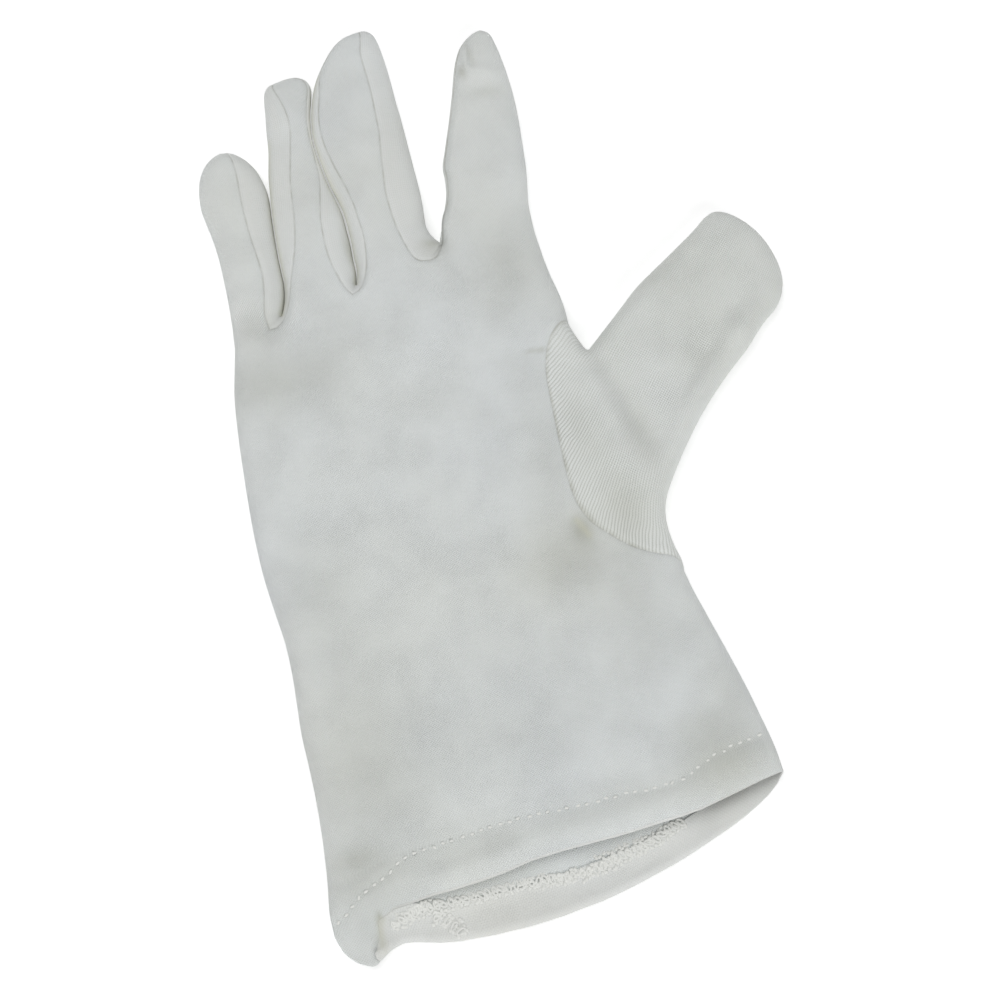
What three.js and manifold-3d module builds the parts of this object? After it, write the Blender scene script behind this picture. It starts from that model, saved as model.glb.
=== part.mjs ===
import * as THREE from "three";
import { mergeVertices } from "three/addons/utils/BufferGeometryUtils.js";
import Module from "manifold-3d";

// A cotton dress glove for the right hand, laid flat with its palm up. Millimetres.
// +Y runs from the wrist to the fingertips, +X towards the thumb, +Z up from the surface it lies on.
// The origin is on that surface, under the middle of the wrist.
// The glove is one hollow shell of cloth, cut along its seams into the pieces that are sewn together.

const wasm = await Module();
wasm.setup();

// Cloth and seams
const cloth = 1.2; // thickness of a wall
const seamGap = 0.3; // clearance that separates two sewn pieces
const hemCloth = 1; // thickness of the turned-in hem
const hemDepth = 12; // how far the hem reaches into the cuff
const sideSeamHeight = 3.6; // where palm and back meet along the outer edges
const fourchetteFoot = 2.5; // where a fourchette meets the back of the glove

// Section of the flat tubes: squared round at its edges, crowned on top, pressed flat below by its
// own weight
const sink = 2; // how much of the section is pressed away below
const squareness = 2.8; // of the round at an edge, where 2 would be a plain ellipse
const edgeRound = 11; // how far the round reaches in from an edge
const edgeShare = 0.85; // the most of a narrow section's half width that the round takes
const crown = 0.025; // rise of the top's middle for each millimetre of half width
const edgeSteps = 4; // steps over the round of one edge
const fingerSteps = 1; // steps over the flat of the top
const thumbSteps = 3;
const palmSteps = 8;

// Cuff mouth: the upper layer is pulled back as it rises, so the mouth leans
const mouthLean = 0.85; // run along the glove for each millimetre of height
const beyond = 30; // how far a cutter reaches past what it cuts
const cutterHeight = 40; // well over the height of the glove
const layerSide = 500; // longer than the glove
const sharpest = 0.3; // cosine of half the turn past which an outline's corner is moved no further

// Thumb: its axis starts inside the palm, turned from +Y towards +X
const thumbRoot = new THREE.Vector2(45, 35);
const thumbTurn = THREE.MathUtils.degToRad(-45);

// Rows of the palm and cuff: y, left edge, right edge, top
const palmRows = [
  [-84, -56.4, 68.4, 15],
  [-72, -55.6, 67.4, 15],
  [-60, -54.7, 66.2, 14.6],
  [-45, -52.6, 65.3, 14.2],
  [-30, -51.2, 63.4, 13.6],
  [-15, -50.7, 60.3, 13],
  [0, -49.3, 57.4, 12.6],
  [12, -48.9, 56.4, 12.6],
  [26, -50.1, 52, 13],
  [42, -50.1, 47.6, 13.4],
  [58, -48.4, 47.8, 13.4],
  [72, -47.1, 48.2, 13],
  [84, -45, 48.2, 12.6],
  [92, -43, 47, 11.8],
  [97, -39, 43, 10],
];

// Rows of each finger, from its root inside the palm to its tip: y, left edge, right edge, top
const littleRows = [
  [84, -44.6, -24, 11.8],
  [97, -42, -24.4, 10.8],
  [105, -40.9, -26.1, 10],
  [114, -40.4, -24.9, 9.4],
  [123, -40.1, -24.3, 9],
  [132, -40.7, -23.4, 9],
  [140, -41.3, -22.4, 8.8],
  [146, -40.2, -23.4, 8.6],
  [150.5, -37.9, -25.7, 7.8],
  [154.5, -34, -29.6, 6],
];
const ringRows = [
  [86, -29, -3, 12],
  [97, -27.4, -5, 11.4],
  [105, -25.4, -5.5, 10.4],
  [114, -24.2, -4.4, 9.8],
  [124, -23.5, -4.1, 9.4],
  [134, -22.3, -5.2, 9.4],
  [145, -20.4, -6.5, 9.2],
  [154, -18.4, -6.1, 9],
  [162, -17.2, -4.5, 9],
  [168, -16, -3.5, 8.2],
  [172.2, -12, -6, 6.2],
];
const middleRows = [
  [86, -9, 25, 12],
  [97, -7, 23.6, 11.6],
  [105, -4.8, 21.6, 10.8],
  [112, -3.8, 19.6, 10.2],
  [122, -3.3, 18.6, 9.8],
  [134, -4.3, 19.4, 9.8],
  [146, -5.7, 19.9, 9.8],
  [156, -5, 20.1, 9.6],
  [165, -2.4, 20.3, 9.2],
  [172, 1.2, 20.2, 9],
  [178, 6.2, 19.6, 8],
  [181.5, 11.6, 17.6, 6.2],
];
const indexRows = [
  [84, 17, 47.9, 12.2],
  [97, 18, 47.2, 11.6],
  [105, 19, 46.9, 11],
  [112, 20.9, 47.1, 10.6],
  [122, 25.2, 49.1, 10.2],
  [132, 27.6, 50.9, 10],
  [142, 31.1, 52.1, 9.8],
  [152, 35, 53, 9.4],
  [160, 38, 52.9, 9.4],
  [167, 41.6, 52.4, 8.8],
  [172.7, 47.4, 51.4, 6.4],
];

// Rows of the thumb: distance along its axis, left edge, right edge, top
const thumbRows = [
  [-6, -17, 15, 11.4],
  [6, -21.8, 17.6, 13],
  [17, -22.4, 16.8, 13.2],
  [28, -21, 16.3, 12.6],
  [40, -19.1, 16.9, 11.8],
  [51, -17.2, 18.3, 11.2],
  [61, -14.7, 19.1, 10.6],
  [69, -12.7, 19, 9.8],
  [76, -11.1, 15.4, 8.8],
  [81, -9.6, 8.6, 7.4],
  [84.6, -4.6, 1.6, 5.4],
];

// Folds and dents of the upper layer: from x, from y, to x, to y, half width, height
const folds = [
  [47, 66, 44, 28, 7, 1.1], // roll of the thumb along its seam
  [44, 28, 56, 12, 6, 0.9],
  [52, 74, 64, 82, 5, -1], // tuck where the thumb leaves the palm
  [33, 96, 40, 80, 8, -1], // hollow below the index finger
  [20, 72, 33, 71, 5, -0.8], // short dart beside the thumb hole
  [-38, 88, -30, 62, 9, -0.8], // slack below the little finger
  [-20, 4, 14, -2, 12, -0.9], // dip across the wrist
  [42, 8, 46, -18, 7, -0.9], // dent below the thumb
  [-30, -22, -6, -34, 9, 0.7], // soft rise in the cuff
  [24, -20, 40, -46, 10, 0.7],
];

// Seam lines on the palm side, from the fork to the fingertip: x, y
const littleSeam = [
  [-31.4, 97],
  [-31.6, 102],
  [-30.2, 109],
  [-29.4, 114],
  [-30.1, 125],
  [-30, 136],
  [-29.3, 146],
  [-29.4, 158],
];
const ringLeftSeam = [
  [-23.2, 105],
  [-21.5, 112],
  [-18.6, 120],
  [-16.7, 130],
  [-14.6, 142],
  [-12.2, 151],
  [-11, 159],
  [-12.6, 176],
];
const ringRightSeam = [
  [-7.8, 98.5],
  [-8.4, 102],
  [-9.9, 108],
  [-10.7, 115],
  [-9.9, 125],
  [-8.4, 136],
  [-8.4, 146],
  [-7.6, 156],
  [-6.4, 164],
  [-6.6, 176],
];
const middleLeftSeam = [
  [-3.4, 101.5],
  [-1.4, 107],
  [0.2, 114],
  [0.1, 124],
  [-1, 135],
  [-3, 145],
  [-3, 153],
  [-1, 162],
  [2.4, 172],
  [5.6, 186],
];
const middleRightSeam = [
  [13.2, 105.4],
  [11.2, 109.5],
  [9.7, 116],
  [9.6, 126],
  [11.2, 138],
  [13, 150],
  [13.8, 164],
  [14.2, 174],
  [15.2, 186],
];
const indexLeftSeam = [
  [19.6, 105.6],
  [22.6, 112],
  [26.6, 120],
  [29.2, 131],
  [33.2, 143],
  [37.4, 154],
  [42, 163],
  [48.6, 178],
];

// Seam round the thumb hole, from its crotch round the palm side to the wrist: x, y
const thumbSeam = [
  [48.6, 77.8],
  [46.2, 76.4],
  [42.8, 74.4],
  [39.8, 70.6],
  [37.9, 65],
  [36.7, 56],
  [35.6, 42],
  [34.8, 30],
  [35.8, 24],
  [38.6, 18.4],
  [44.6, 11.8],
  [52.4, 6.4],
  [56, 4.6],
  [58.4, 0],
];
const thumbFarSide = [140, 130]; // a corner well past the thumb's tip
const crotchClear = 62; // the cut leans this far from the crotch so that it misses the palm's edge

// Edge of the lower layer at the cuff's mouth, with the lobe at the little-finger side: x, y
const hemEdge = [
  [-62, -60],
  [-55.2, -66],
  [-53.6, -71.2],
  [-50, -75],
  [-47.4, -76.2],
  [-43.4, -73.6],
  [-37, -72.8],
  [-28, -74.9],
  [-8, -76.6],
  [10.4, -75.7],
  [28, -72.8],
  [46, -67.8],
  [58, -63.2],
  [66.8, -57],
  [76, -48],
];

// Height that the folds add to the upper layer at a place
function foldHeight(x, y) {
  const here = new THREE.Vector2(x, y);
  let height = 0;
  for (const [x0, y0, x1, y1, halfWidth, peak] of folds) {
    const start = new THREE.Vector2(x0, y0);
    const run = new THREE.Vector2(x1, y1).sub(start);
    const along = THREE.MathUtils.clamp(here.clone().sub(start).dot(run) / run.lengthSq(), 0, 1);
    const away = here.distanceTo(start.addScaledVector(run, along));
    height += peak * Math.exp(-((away / halfWidth) ** 2));
  }
  return height;
}

// Share of the full width of a squared ellipse at a share of its height, or the other way round
const squared = (share) => (1 - share ** squareness) ** (1 / squareness);

// One section of a flat tube, taken in from its outside by inset, from its foot on the right over
// the top to its foot on the left: [across, height, share of the folds]
function flatSection([, left, right, top], inset, steps) {
  const middle = (left + right) / 2;
  const reach = (right - left) / 2 - inset;
  const round = Math.min(edgeRound, reach * edgeShare);
  const flat = reach - round;
  const level = (top - sink) / 2;
  const rise = (top + sink) / 2 - inset;
  const foot = (level - inset) / rise;
  const rightSide = [foot, foot / 2].map((drop) => [flat + squared(drop) * round, level - drop * rise, 0]);
  for (let step = 0; step <= edgeSteps; step++) {
    const share = Math.cos((Math.PI * step) / (2 * edgeSteps));
    rightSide.push([flat + share * round, level + squared(share) * rise, squared(share)]);
  }
  const leftSide = rightSide.map(([across, height, share]) => [-across, height, share]).reverse();
  const overTop = [];
  for (let step = 1; step < steps; step++) {
    overTop.push([flat * (1 - (2 * step) / steps), level + rise, 1]);
  }
  return [...rightSide, ...overTop, ...leftSide].map(([across, height, share]) => {
    const crowned = height + share * crown * reach * (1 - (across / reach) ** 2);
    return [middle + across, crowned, share];
  });
}

// A flat tube through its rows, closed at both ends. place turns a row's position and a distance
// across it into a point in plan. The inside of a tube starts before its outside does.
function flatTube(rows, inset, steps, place) {
  const vertices = [];
  const triangles = [];
  const tip = rows[rows.length - 1][0] - inset;
  rows.forEach((row, ring) => {
    const along = ring === 0 ? row[0] - inset : Math.min(row[0], tip);
    for (const [across, height, share] of flatSection(row, inset, steps)) {
      const plan = place(along, across);
      vertices.push(plan.x, plan.y, height + share * foldHeight(plan.x, plan.y));
    }
  });
  const count = vertices.length / 3 / rows.length;
  for (let ring = 0; ring < rows.length - 1; ring++) {
    for (let i = 0; i < count; i++) {
      const a = ring * count + i;
      const b = ring * count + ((i + 1) % count);
      triangles.push(a, a + count, b, b, a + count, b + count);
    }
  }
  const last = (rows.length - 1) * count;
  for (let i = 1; i < count - 1; i++) {
    triangles.push(0, i, i + 1);
    triangles.push(last, last + i + 1, last + i);
  }
  const geometry = new THREE.BufferGeometry();
  geometry.setAttribute("position", new THREE.Float32BufferAttribute(vertices, 3));
  geometry.setIndex(triangles);
  return geometry;
}

const alongGlove = (along, across) => new THREE.Vector2(across, along);
const alongThumb = (along, across) =>
  new THREE.Vector2(across, along).rotateAround(new THREE.Vector2(), thumbTurn).add(thumbRoot);

// A closed geometry as a solid that can be joined and cut
function solidOf(geometry) {
  geometry.deleteAttribute("normal");
  geometry.deleteAttribute("uv");
  const merged = mergeVertices(geometry, 1e-4);
  const mesh = new wasm.Mesh({
    numProp: 3,
    vertProperties: merged.attributes.position.array,
    triVerts: Uint32Array.from(merged.index.array),
  });
  return new wasm.Manifold(mesh);
}

const palmBody = (inset) => solidOf(flatTube(palmRows, inset, palmSteps, alongGlove));

// The whole glove, taken in from its outside by inset
function gloveBody(inset) {
  const fingers = [littleRows, ringRows, middleRows, indexRows];
  const thumb = solidOf(flatTube(thumbRows, inset, thumbSteps, alongThumb));
  return fingers
    .map((rows) => solidOf(flatTube(rows, inset, fingerSteps, alongGlove)))
    .reduce((whole, finger) => whole.add(finger), palmBody(inset).add(thumb));
}

// Outline moved outwards by distance, or inwards if it is negative. The points run anticlockwise.
function movedOutline(points, distance) {
  return points.map(([x, y], i) => {
    const before = points[(i + points.length - 1) % points.length];
    const after = points[(i + 1) % points.length];
    const arriving = new THREE.Vector2(x - before[0], y - before[1]).normalize();
    const leaving = new THREE.Vector2(after[0] - x, after[1] - y).normalize();
    const tangent = arriving.clone().add(leaving).normalize();
    const reach = distance / Math.max(tangent.dot(leaving), sharpest);
    return new THREE.Vector2(x + tangent.y * reach, y - tangent.x * reach);
  });
}

// A prism over an outline, from one height up, leaning towards +Y as it rises
function prism(points, from, distance = 0, lean = 0) {
  const shape = new THREE.Shape(movedOutline(points, distance));
  const geometry = new THREE.ExtrudeGeometry(shape, { depth: cutterHeight, bevelEnabled: false });
  geometry.translate(0, 0, from);
  geometry.applyMatrix4(new THREE.Matrix4().makeShear(0, 0, 0, 0, 0, lean));
  return solidOf(geometry);
}

// Everything between two heights
function layer(from, to) {
  const geometry = new THREE.BoxGeometry(layerSide, layerSide, to - from);
  geometry.translate(0, 0, (from + to) / 2);
  return solidOf(geometry);
}

// Outline of the strip between two fingers, across the fork and past both tips
const stripOutline = (leftSeam, rightSeam) => [...leftSeam.slice().reverse(), ...rightSeam];

const [hemLeft] = hemEdge;
const hemRight = hemEdge[hemEdge.length - 1];
const outsideCuff = Math.min(...hemEdge.map(([, y]) => y)) - beyond;
const mouthOutline = [
  [hemLeft[0] - beyond, hemLeft[1]],
  [hemLeft[0] - beyond, outsideCuff],
  [hemRight[0] + beyond, outsideCuff],
  [hemRight[0] + beyond, hemRight[1]],
  ...hemEdge.slice().reverse(),
];
const wristEnd = thumbSeam[thumbSeam.length - 1];
const thumbOutline = [
  ...thumbSeam,
  [thumbFarSide[0], wristEnd[1]],
  thumbFarSide,
  [crotchClear, thumbFarSide[1]],
];
const strips = {
  fourchette_little_ring: stripOutline(littleSeam, ringLeftSeam),
  fourchette_ring_middle: stripOutline(ringRightSeam, middleLeftSeam),
  fourchette_middle_index: stripOutline(middleRightSeam, indexLeftSeam),
};

const half = seamGap / 2;
const mouth = prism(mouthOutline, -cutterHeight / 2, 0, mouthLean);
const hemReach = mouth.translate([0, hemDepth, 0]);

// The shell of cloth, open at the cuff
const shell = gloveBody(0).subtract(gloveBody(cloth)).subtract(mouth);

// The seams part the shell
const thumbHole = prism(thumbOutline, -half, half);
let panels = shell.subtract(thumbHole);
const pieces = {};
for (const [name, outline] of Object.entries(strips)) {
  pieces[name] = shell.intersect(prism(outline, fourchetteFoot + half, -half));
  panels = panels.subtract(prism(outline, fourchetteFoot - half, half));
}
pieces.thumb_piece = shell.intersect(prism(thumbOutline, -half, -half));
pieces.palm_panel = panels.intersect(layer(sideSeamHeight + half, cutterHeight));
pieces.back_panel = panels.intersect(layer(-cutterHeight, sideSeamHeight - half));
pieces.cuff_hem = palmBody(cloth + seamGap)
  .subtract(palmBody(cloth + seamGap + hemCloth))
  .intersect(hemReach)
  .subtract(mouth);

const palmCotton = { color: 0xd0d2d1, roughness: 0.92, metalness: 0 };
const thumbCotton = { color: 0xc8cac5, roughness: 0.94, metalness: 0 };
const stripCotton = { color: 0xcacccb, roughness: 0.93, metalness: 0 };
const hemCotton = { color: 0xc2c2c1, roughness: 0.94, metalness: 0 };
const finish = {
  palm_panel: palmCotton,
  back_panel: palmCotton,
  thumb_piece: thumbCotton,
  fourchette_little_ring: stripCotton,
  fourchette_ring_middle: stripCotton,
  fourchette_middle_index: stripCotton,
  cuff_hem: hemCotton,
};

// One sewn piece as a named mesh
function sewnPiece(name) {
  const { numProp, vertProperties, triVerts } = pieces[name].getMesh();
  const geometry = new THREE.BufferGeometry();
  geometry.setAttribute("position", new THREE.BufferAttribute(vertProperties, numProp));
  geometry.setIndex(new THREE.BufferAttribute(triVerts, 1));
  const mesh = new THREE.Mesh(geometry, new THREE.MeshStandardMaterial(finish[name]));
  mesh.name = name;
  return mesh;
}

const glove = new THREE.Group();
for (const name of Object.keys(finish)) {
  glove.add(sewnPiece(name));
}

export default glove;
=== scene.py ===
import math

import bpy
import numpy as np
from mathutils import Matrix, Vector


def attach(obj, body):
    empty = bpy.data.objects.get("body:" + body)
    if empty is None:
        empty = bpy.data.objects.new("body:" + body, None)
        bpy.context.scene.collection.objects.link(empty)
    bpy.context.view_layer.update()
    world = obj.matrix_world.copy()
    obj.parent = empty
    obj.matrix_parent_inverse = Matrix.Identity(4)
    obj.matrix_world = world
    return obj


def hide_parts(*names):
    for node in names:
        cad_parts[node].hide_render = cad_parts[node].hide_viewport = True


# Cotton dress glove for the right hand, laid flat with its palm up.
# The outlines and seam lines are plan positions in millimetres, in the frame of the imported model.
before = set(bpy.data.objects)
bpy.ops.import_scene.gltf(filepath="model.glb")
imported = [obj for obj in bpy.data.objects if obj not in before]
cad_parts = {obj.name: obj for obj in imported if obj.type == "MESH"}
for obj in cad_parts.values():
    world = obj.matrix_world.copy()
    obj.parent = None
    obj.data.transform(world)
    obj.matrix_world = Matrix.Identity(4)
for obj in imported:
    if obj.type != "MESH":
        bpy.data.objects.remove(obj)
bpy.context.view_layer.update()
bpy.ops.object.select_all(action="DESELECT")
print("frame loaded")


# Outlines and seam lines

# Edges of the flat glove: x, y, height of the edge above the table
edges = {
    "outerSide": [
        (-55.4, -66.3, 4.5), (-55.2, -60.5, 4.5), (-53.9, -53.5, 4.5), (-52.3, -41.9, 4.5),
        (-51.4, -31.5, 4.5), (-51.0, -22.0, 4.5), (-50.8, -14.0, 4.5), (-50.0, -6.0, 4.5),
        (-49.2, 3.0, 4.5), (-49.0, 11.0, 4.5), (-49.6, 20.0, 4.5), (-50.1, 30.3, 4.5),
        (-49.8, 42.1, 4.5), (-49.0, 53.1, 4.5), (-48.2, 61.5, 4.5), (-47.1, 71.4, 4.5),
        (-45.7, 80.9, 4.5), (-44.1, 87.5, 4.5), (-42.1, 95.4, 4.5),
    ],
    "littleLeft": [
        (-42.1, 95.4, 4.5), (-41.1, 104.0, 4.5), (-40.6, 110.2, 4.4), (-40.2, 119.3, 4.3),
        (-40.2, 125.2, 4.2), (-40.6, 131.0, 4.2), (-41.1, 135.1, 4.2), (-41.4, 138.6, 4.2),
        (-41.1, 142.4, 4.1), (-40.4, 145.8, 4.0), (-39.3, 148.7, 3.9), (-37.3, 151.6, 3.8),
        (-34.9, 153.5, 3.7), (-32.2, 154.5, 3.6),
    ],
    "littleRight": [
        (-27.4, 101.0, 4.2), (-25.6, 105.4, 4.0), (-24.5, 110.2, 4.0), (-24.3, 113.7, 4.0),
        (-24.1, 118.3, 4.0), (-23.6, 124.5, 4.0), (-22.9, 131.0, 4.0), (-22.3, 136.0, 3.9),
        (-22.2, 139.6, 3.7), (-22.6, 143.1, 3.3), (-23.5, 146.6, 3.4), (-25.4, 150.2, 3.5),
        (-27.4, 152.5, 3.5), (-29.7, 154.0, 3.6), (-32.2, 154.5, 3.6),
    ],
    "ringLeft": [
        (-27.4, 101.0, 4.0), (-25.3, 105.6, 5.3), (-24.3, 110.2, 6.0), (-24.1, 113.7, 6.0),
        (-23.8, 118.3, 6.0), (-23.3, 124.5, 6.0), (-22.6, 131.0, 5.9), (-21.7, 137.3, 5.6),
        (-20.9, 142.6, 5.2), (-18.8, 151.6, 4.7), (-17.9, 157.8, 4.4), (-16.9, 163.2, 4.2),
        (-16.3, 167.0, 4.1), (-15.6, 169.6, 4.0), (-14.4, 171.2, 3.9), (-12.4, 171.9, 3.8),
    ],
    "ringRight": [
        (-5.3, 104.3, 4.2), (-4.4, 108.0, 3.9), (-4.1, 112.6, 3.9), (-3.7, 117.2, 4.0),
        (-3.6, 122.1, 4.3), (-3.6, 126.5, 4.7), (-4.1, 130.5, 5.1), (-4.9, 134.5, 5.5),
        (-5.5, 139.1, 5.7), (-6.0, 145.9, 5.8), (-6.0, 151.1, 5.8), (-5.1, 156.8, 5.6),
        (-4.2, 160.6, 5.2), (-2.9, 164.7, 4.6), (-2.3, 167.9, 4.0), (-3.0, 170.4, 3.6),
        (-5.2, 172.0, 3.7), (-8.6, 172.4, 3.8), (-12.4, 171.9, 3.8),
    ],
    "middleLeft": [
        (-5.3, 104.3, 4.2), (-4.1, 108.0, 5.4), (-3.8, 112.6, 6.2), (-3.4, 117.2, 6.3),
        (-3.2, 122.1, 6.4), (-3.3, 126.5, 6.4), (-3.8, 130.5, 6.4), (-4.6, 134.5, 6.4),
        (-5.2, 139.1, 6.4), (-5.7, 145.9, 6.3), (-5.7, 151.1, 6.2), (-4.8, 156.8, 6.0),
        (-3.9, 160.2, 5.8), (-2.4, 164.7, 5.4), (-0.5, 168.9, 5.1), (1.4, 171.9, 4.8),
        (3.7, 175.0, 4.6), (6.5, 178.1, 4.4), (9.0, 180.0, 4.2), (11.3, 181.0, 4.1),
        (14.4, 181.5, 4.0),
    ],
    "middleRight": [
        (21.1, 110.0, 4.4), (19.1, 112.8, 4.5), (18.1, 116.4, 4.5), (18.4, 119.6, 4.5),
        (18.9, 123.2, 4.5), (19.3, 128.2, 4.5), (19.5, 134.7, 4.5), (19.8, 143.4, 4.5),
        (20.0, 150.3, 4.5), (20.1, 158.2, 4.4), (20.3, 165.9, 4.3), (20.2, 172.3, 4.2),
        (19.9, 176.6, 4.1), (19.2, 179.6, 4.0), (17.3, 181.3, 4.0), (14.4, 181.5, 4.0),
    ],
    "indexLeft": [
        (21.1, 110.0, 4.4), (21.9, 114.3, 4.5), (23.1, 117.9, 4.5), (24.6, 120.6, 4.5),
        (26.1, 124.6, 4.5), (27.0, 129.3, 4.5), (27.3, 132.8, 4.5), (29.6, 138.6, 4.5),
        (32.9, 146.6, 4.5), (35.8, 154.1, 4.4), (38.5, 161.6, 4.3), (39.9, 164.9, 4.2),
        (42.0, 168.4, 4.1), (44.5, 170.7, 4.0), (47.1, 172.2, 3.9), (49.4, 172.7, 3.8),
    ],
    "indexRight": [
        (46.9, 106.9, 4.5), (47.3, 112.4, 4.5), (47.8, 116.4, 4.5), (48.8, 120.6, 4.5),
        (50.1, 126.6, 4.5), (51.4, 135.5, 4.5), (52.4, 143.0, 4.5), (53.0, 150.3, 4.4),
        (53.1, 156.2, 4.3), (52.9, 162.0, 4.2), (52.5, 166.9, 4.1), (51.7, 170.8, 4.0),
        (49.4, 172.7, 3.8),
    ],
    "cuffCorner": [
        (-55.4, -66.3, 4.5), (-54.9, -68.5, 4.2), (-53.7, -71.0, 3.9), (-51.8, -73.4, 3.6),
        (-50.0, -74.9, 3.3), (-47.6, -76.0, 3.0), (-46.4, -75.6, 2.8), (-44.7, -73.4, 2.6),
    ],
    "palmSide": [
        (48.2, 77.4, 4.5), (48.4, 82.0, 4.5), (48.1, 87.0, 4.5), (47.5, 91.4, 4.5),
        (47.1, 97.0, 4.5), (47.0, 102.4, 4.5), (46.9, 106.9, 4.5),
    ],
    "cuffSide": [
        (66.5, -57.2, 4.0), (66.4, -52.9, 4.2), (65.8, -47.3, 4.5), (65.0, -41.7, 4.5),
        (64.1, -35.0, 4.5), (62.1, -23.6, 4.5), (60.7, -16.5, 4.5), (59.4, -9.8, 4.5),
        (58.3, -4.0, 4.5), (57.7, 0.6, 4.5),
    ],
    "thumbUpper": [
        (48.2, 77.4, 4.5), (49.0, 73.4, 4.6), (49.8, 70.3, 4.7), (50.4, 68.5, 4.8),
        (50.8, 68.0, 4.8), (51.6, 68.6, 4.9), (55.9, 72.0, 4.9), (61.5, 76.4, 4.8),
        (69.3, 82.6, 4.7), (78.6, 88.3, 4.5), (89.7, 95.1, 4.2), (93.7, 98.0, 4.0),
        (96.8, 99.1, 3.9), (99.8, 98.2, 3.8), (102.5, 96.1, 3.7), (104.9, 93.4, 3.7),
    ],
    "thumbLower": [
        (57.7, 0.6, 4.5), (58.1, 3.4, 4.5), (57.5, 7.4, 4.5), (57.2, 13.3, 4.5),
        (57.8, 18.0, 4.5), (59.6, 22.4, 4.5), (62.8, 27.1, 4.5), (68.8, 34.6, 4.5),
        (77.0, 43.5, 4.5), (86.1, 51.5, 4.4), (93.1, 56.9, 4.3), (100.0, 63.1, 4.2),
        (105.2, 67.0, 4.1), (107.9, 70.6, 4.0), (109.6, 75.9, 3.9), (109.1, 83.2, 3.8),
        (107.2, 89.4, 3.7), (104.9, 93.4, 3.7),
    ],
}

# Seams on the palm side, each from its fork or its palm end to the fingertip: x, y
seams = {
    "littleRight": [
        (-31.6, 96.6), (-31.8, 101.5), (-30.5, 107.6), (-29.6, 113.4), (-29.8, 119.9),
        (-30.1, 126.8), (-30.0, 135.6), (-29.5, 142.5), (-29.3, 147.1), (-29.6, 151.0),
        (-30.8, 153.6), (-32.2, 154.5),
    ],
    "ringLeft": [
        (-31.6, 96.6), (-29.2, 96.9), (-26.9, 99.0), (-25.0, 102.3), (-23.6, 106.0),
        (-21.9, 111.0), (-20.1, 115.6), (-18.5, 120.5), (-17.1, 126.8), (-16.2, 133.0),
        (-15.2, 139.1), (-12.9, 148.5), (-11.2, 156.0), (-11.4, 162.3), (-12.3, 166.2),
        (-12.9, 169.6), (-12.4, 171.9),
    ],
    "ringRight": [
        (-7.2, 100.3), (-8.4, 102.8), (-9.5, 106.2), (-10.4, 110.8), (-10.7, 115.2),
        (-10.5, 120.0), (-9.9, 125.6), (-8.7, 130.9), (-7.3, 137.0), (-6.8, 145.0),
        (-6.7, 152.0), (-5.9, 158.0), (-4.5, 163.0), (-3.4, 167.4), (-4.1, 169.8),
        (-6.3, 171.2), (-9.0, 171.7), (-12.4, 171.9),
    ],
    "middleLeft": [
        (-7.2, 100.3), (-4.9, 101.3), (-2.9, 104.1), (-1.3, 107.8), (-0.3, 112.2),
        (0.3, 117.2), (0.2, 121.9), (0.0, 127.7), (-0.9, 134.0), (-2.4, 141.6),
        (-3.2, 147.4), (-3.2, 152.6), (-2.3, 157.9), (-0.8, 163.1), (0.9, 169.4),
        (3.2, 173.6), (6.6, 177.2), (10.4, 180.3), (14.4, 181.5),
    ],
    "middleRight": [
        (16.0, 104.6), (13.0, 105.4), (11.6, 107.8), (10.7, 111.4), (9.8, 117.0),
        (9.5, 122.6), (9.6, 128.0), (10.6, 135.1), (11.7, 141.9), (12.6, 146.9),
        (13.2, 153.6), (13.7, 160.4), (13.8, 167.0), (13.9, 173.0), (15.0, 177.4),
        (15.4, 180.2), (14.4, 181.5),
    ],
    "indexLeft": [
        (16.0, 104.6), (17.9, 105.1), (19.6, 107.0), (21.4, 110.8), (22.5, 114.7),
        (23.7, 117.8), (25.2, 120.4), (26.7, 124.4), (27.6, 129.2), (27.9, 132.6),
        (30.1, 138.4), (33.4, 146.4), (36.3, 153.9), (39.0, 161.4), (40.4, 164.7),
        (42.5, 168.0), (44.9, 170.3), (47.3, 171.8), (49.4, 172.7),
    ],
    "thumbHole": [
        (48.2, 77.4), (46.6, 77.1), (43.5, 75.2), (40.6, 71.7), (38.5, 67.0), (37.2, 61.5),
        (36.4, 54.4), (35.6, 46.3), (34.8, 36.4), (34.5, 29.0), (35.2, 23.9), (37.3, 19.0),
        (41.0, 14.5), (45.0, 10.5), (48.8, 7.8), (52.4, 5.9), (55.5, 4.7), (57.1, 3.0),
        (57.7, 0.6),
    ],
}

# Edge of the hem at the cuff's mouth, upper layer and lower layer: x, y
mouthUpper = [
    (-55.4, -66.3), (-51.0, -66.2), (-47.0, -65.8), (-43.8, -65.2), (-38.9, -64.8),
    (-34.3, -64.9), (-29.5, -64.7), (-23.5, -64.9), (-15.3, -64.6), (-9.0, -64.1),
    (-2.4, -63.2), (4.7, -63.0), (13.0, -63.2), (22.9, -63.3), (29.1, -63.1),
    (36.8, -62.8), (42.5, -62.1), (48.0, -60.9), (54.6, -59.5), (60.0, -58.3), (66.5, -57.2),
]
mouthLower = [
    (-55.4, -66.3), (-54.9, -68.5), (-53.7, -71.0), (-51.8, -73.4), (-50.0, -74.9),
    (-47.6, -76.0), (-46.4, -75.6), (-44.6, -73.7), (-42.8, -72.4), (-40.8, -72.0),
    (-38.2, -72.1), (-35.2, -72.6), (-30.0, -74.3), (-25.2, -75.3), (-15.7, -76.2),
    (-7.5, -76.6), (1.6, -76.5), (10.4, -75.8), (17.5, -74.7), (22.9, -73.7),
    (30.3, -72.0), (37.0, -70.2), (43.8, -68.3), (48.9, -66.7), (54.1, -64.7),
    (57.9, -63.0), (61.6, -61.1), (64.7, -58.9), (66.5, -57.2),
]

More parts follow.
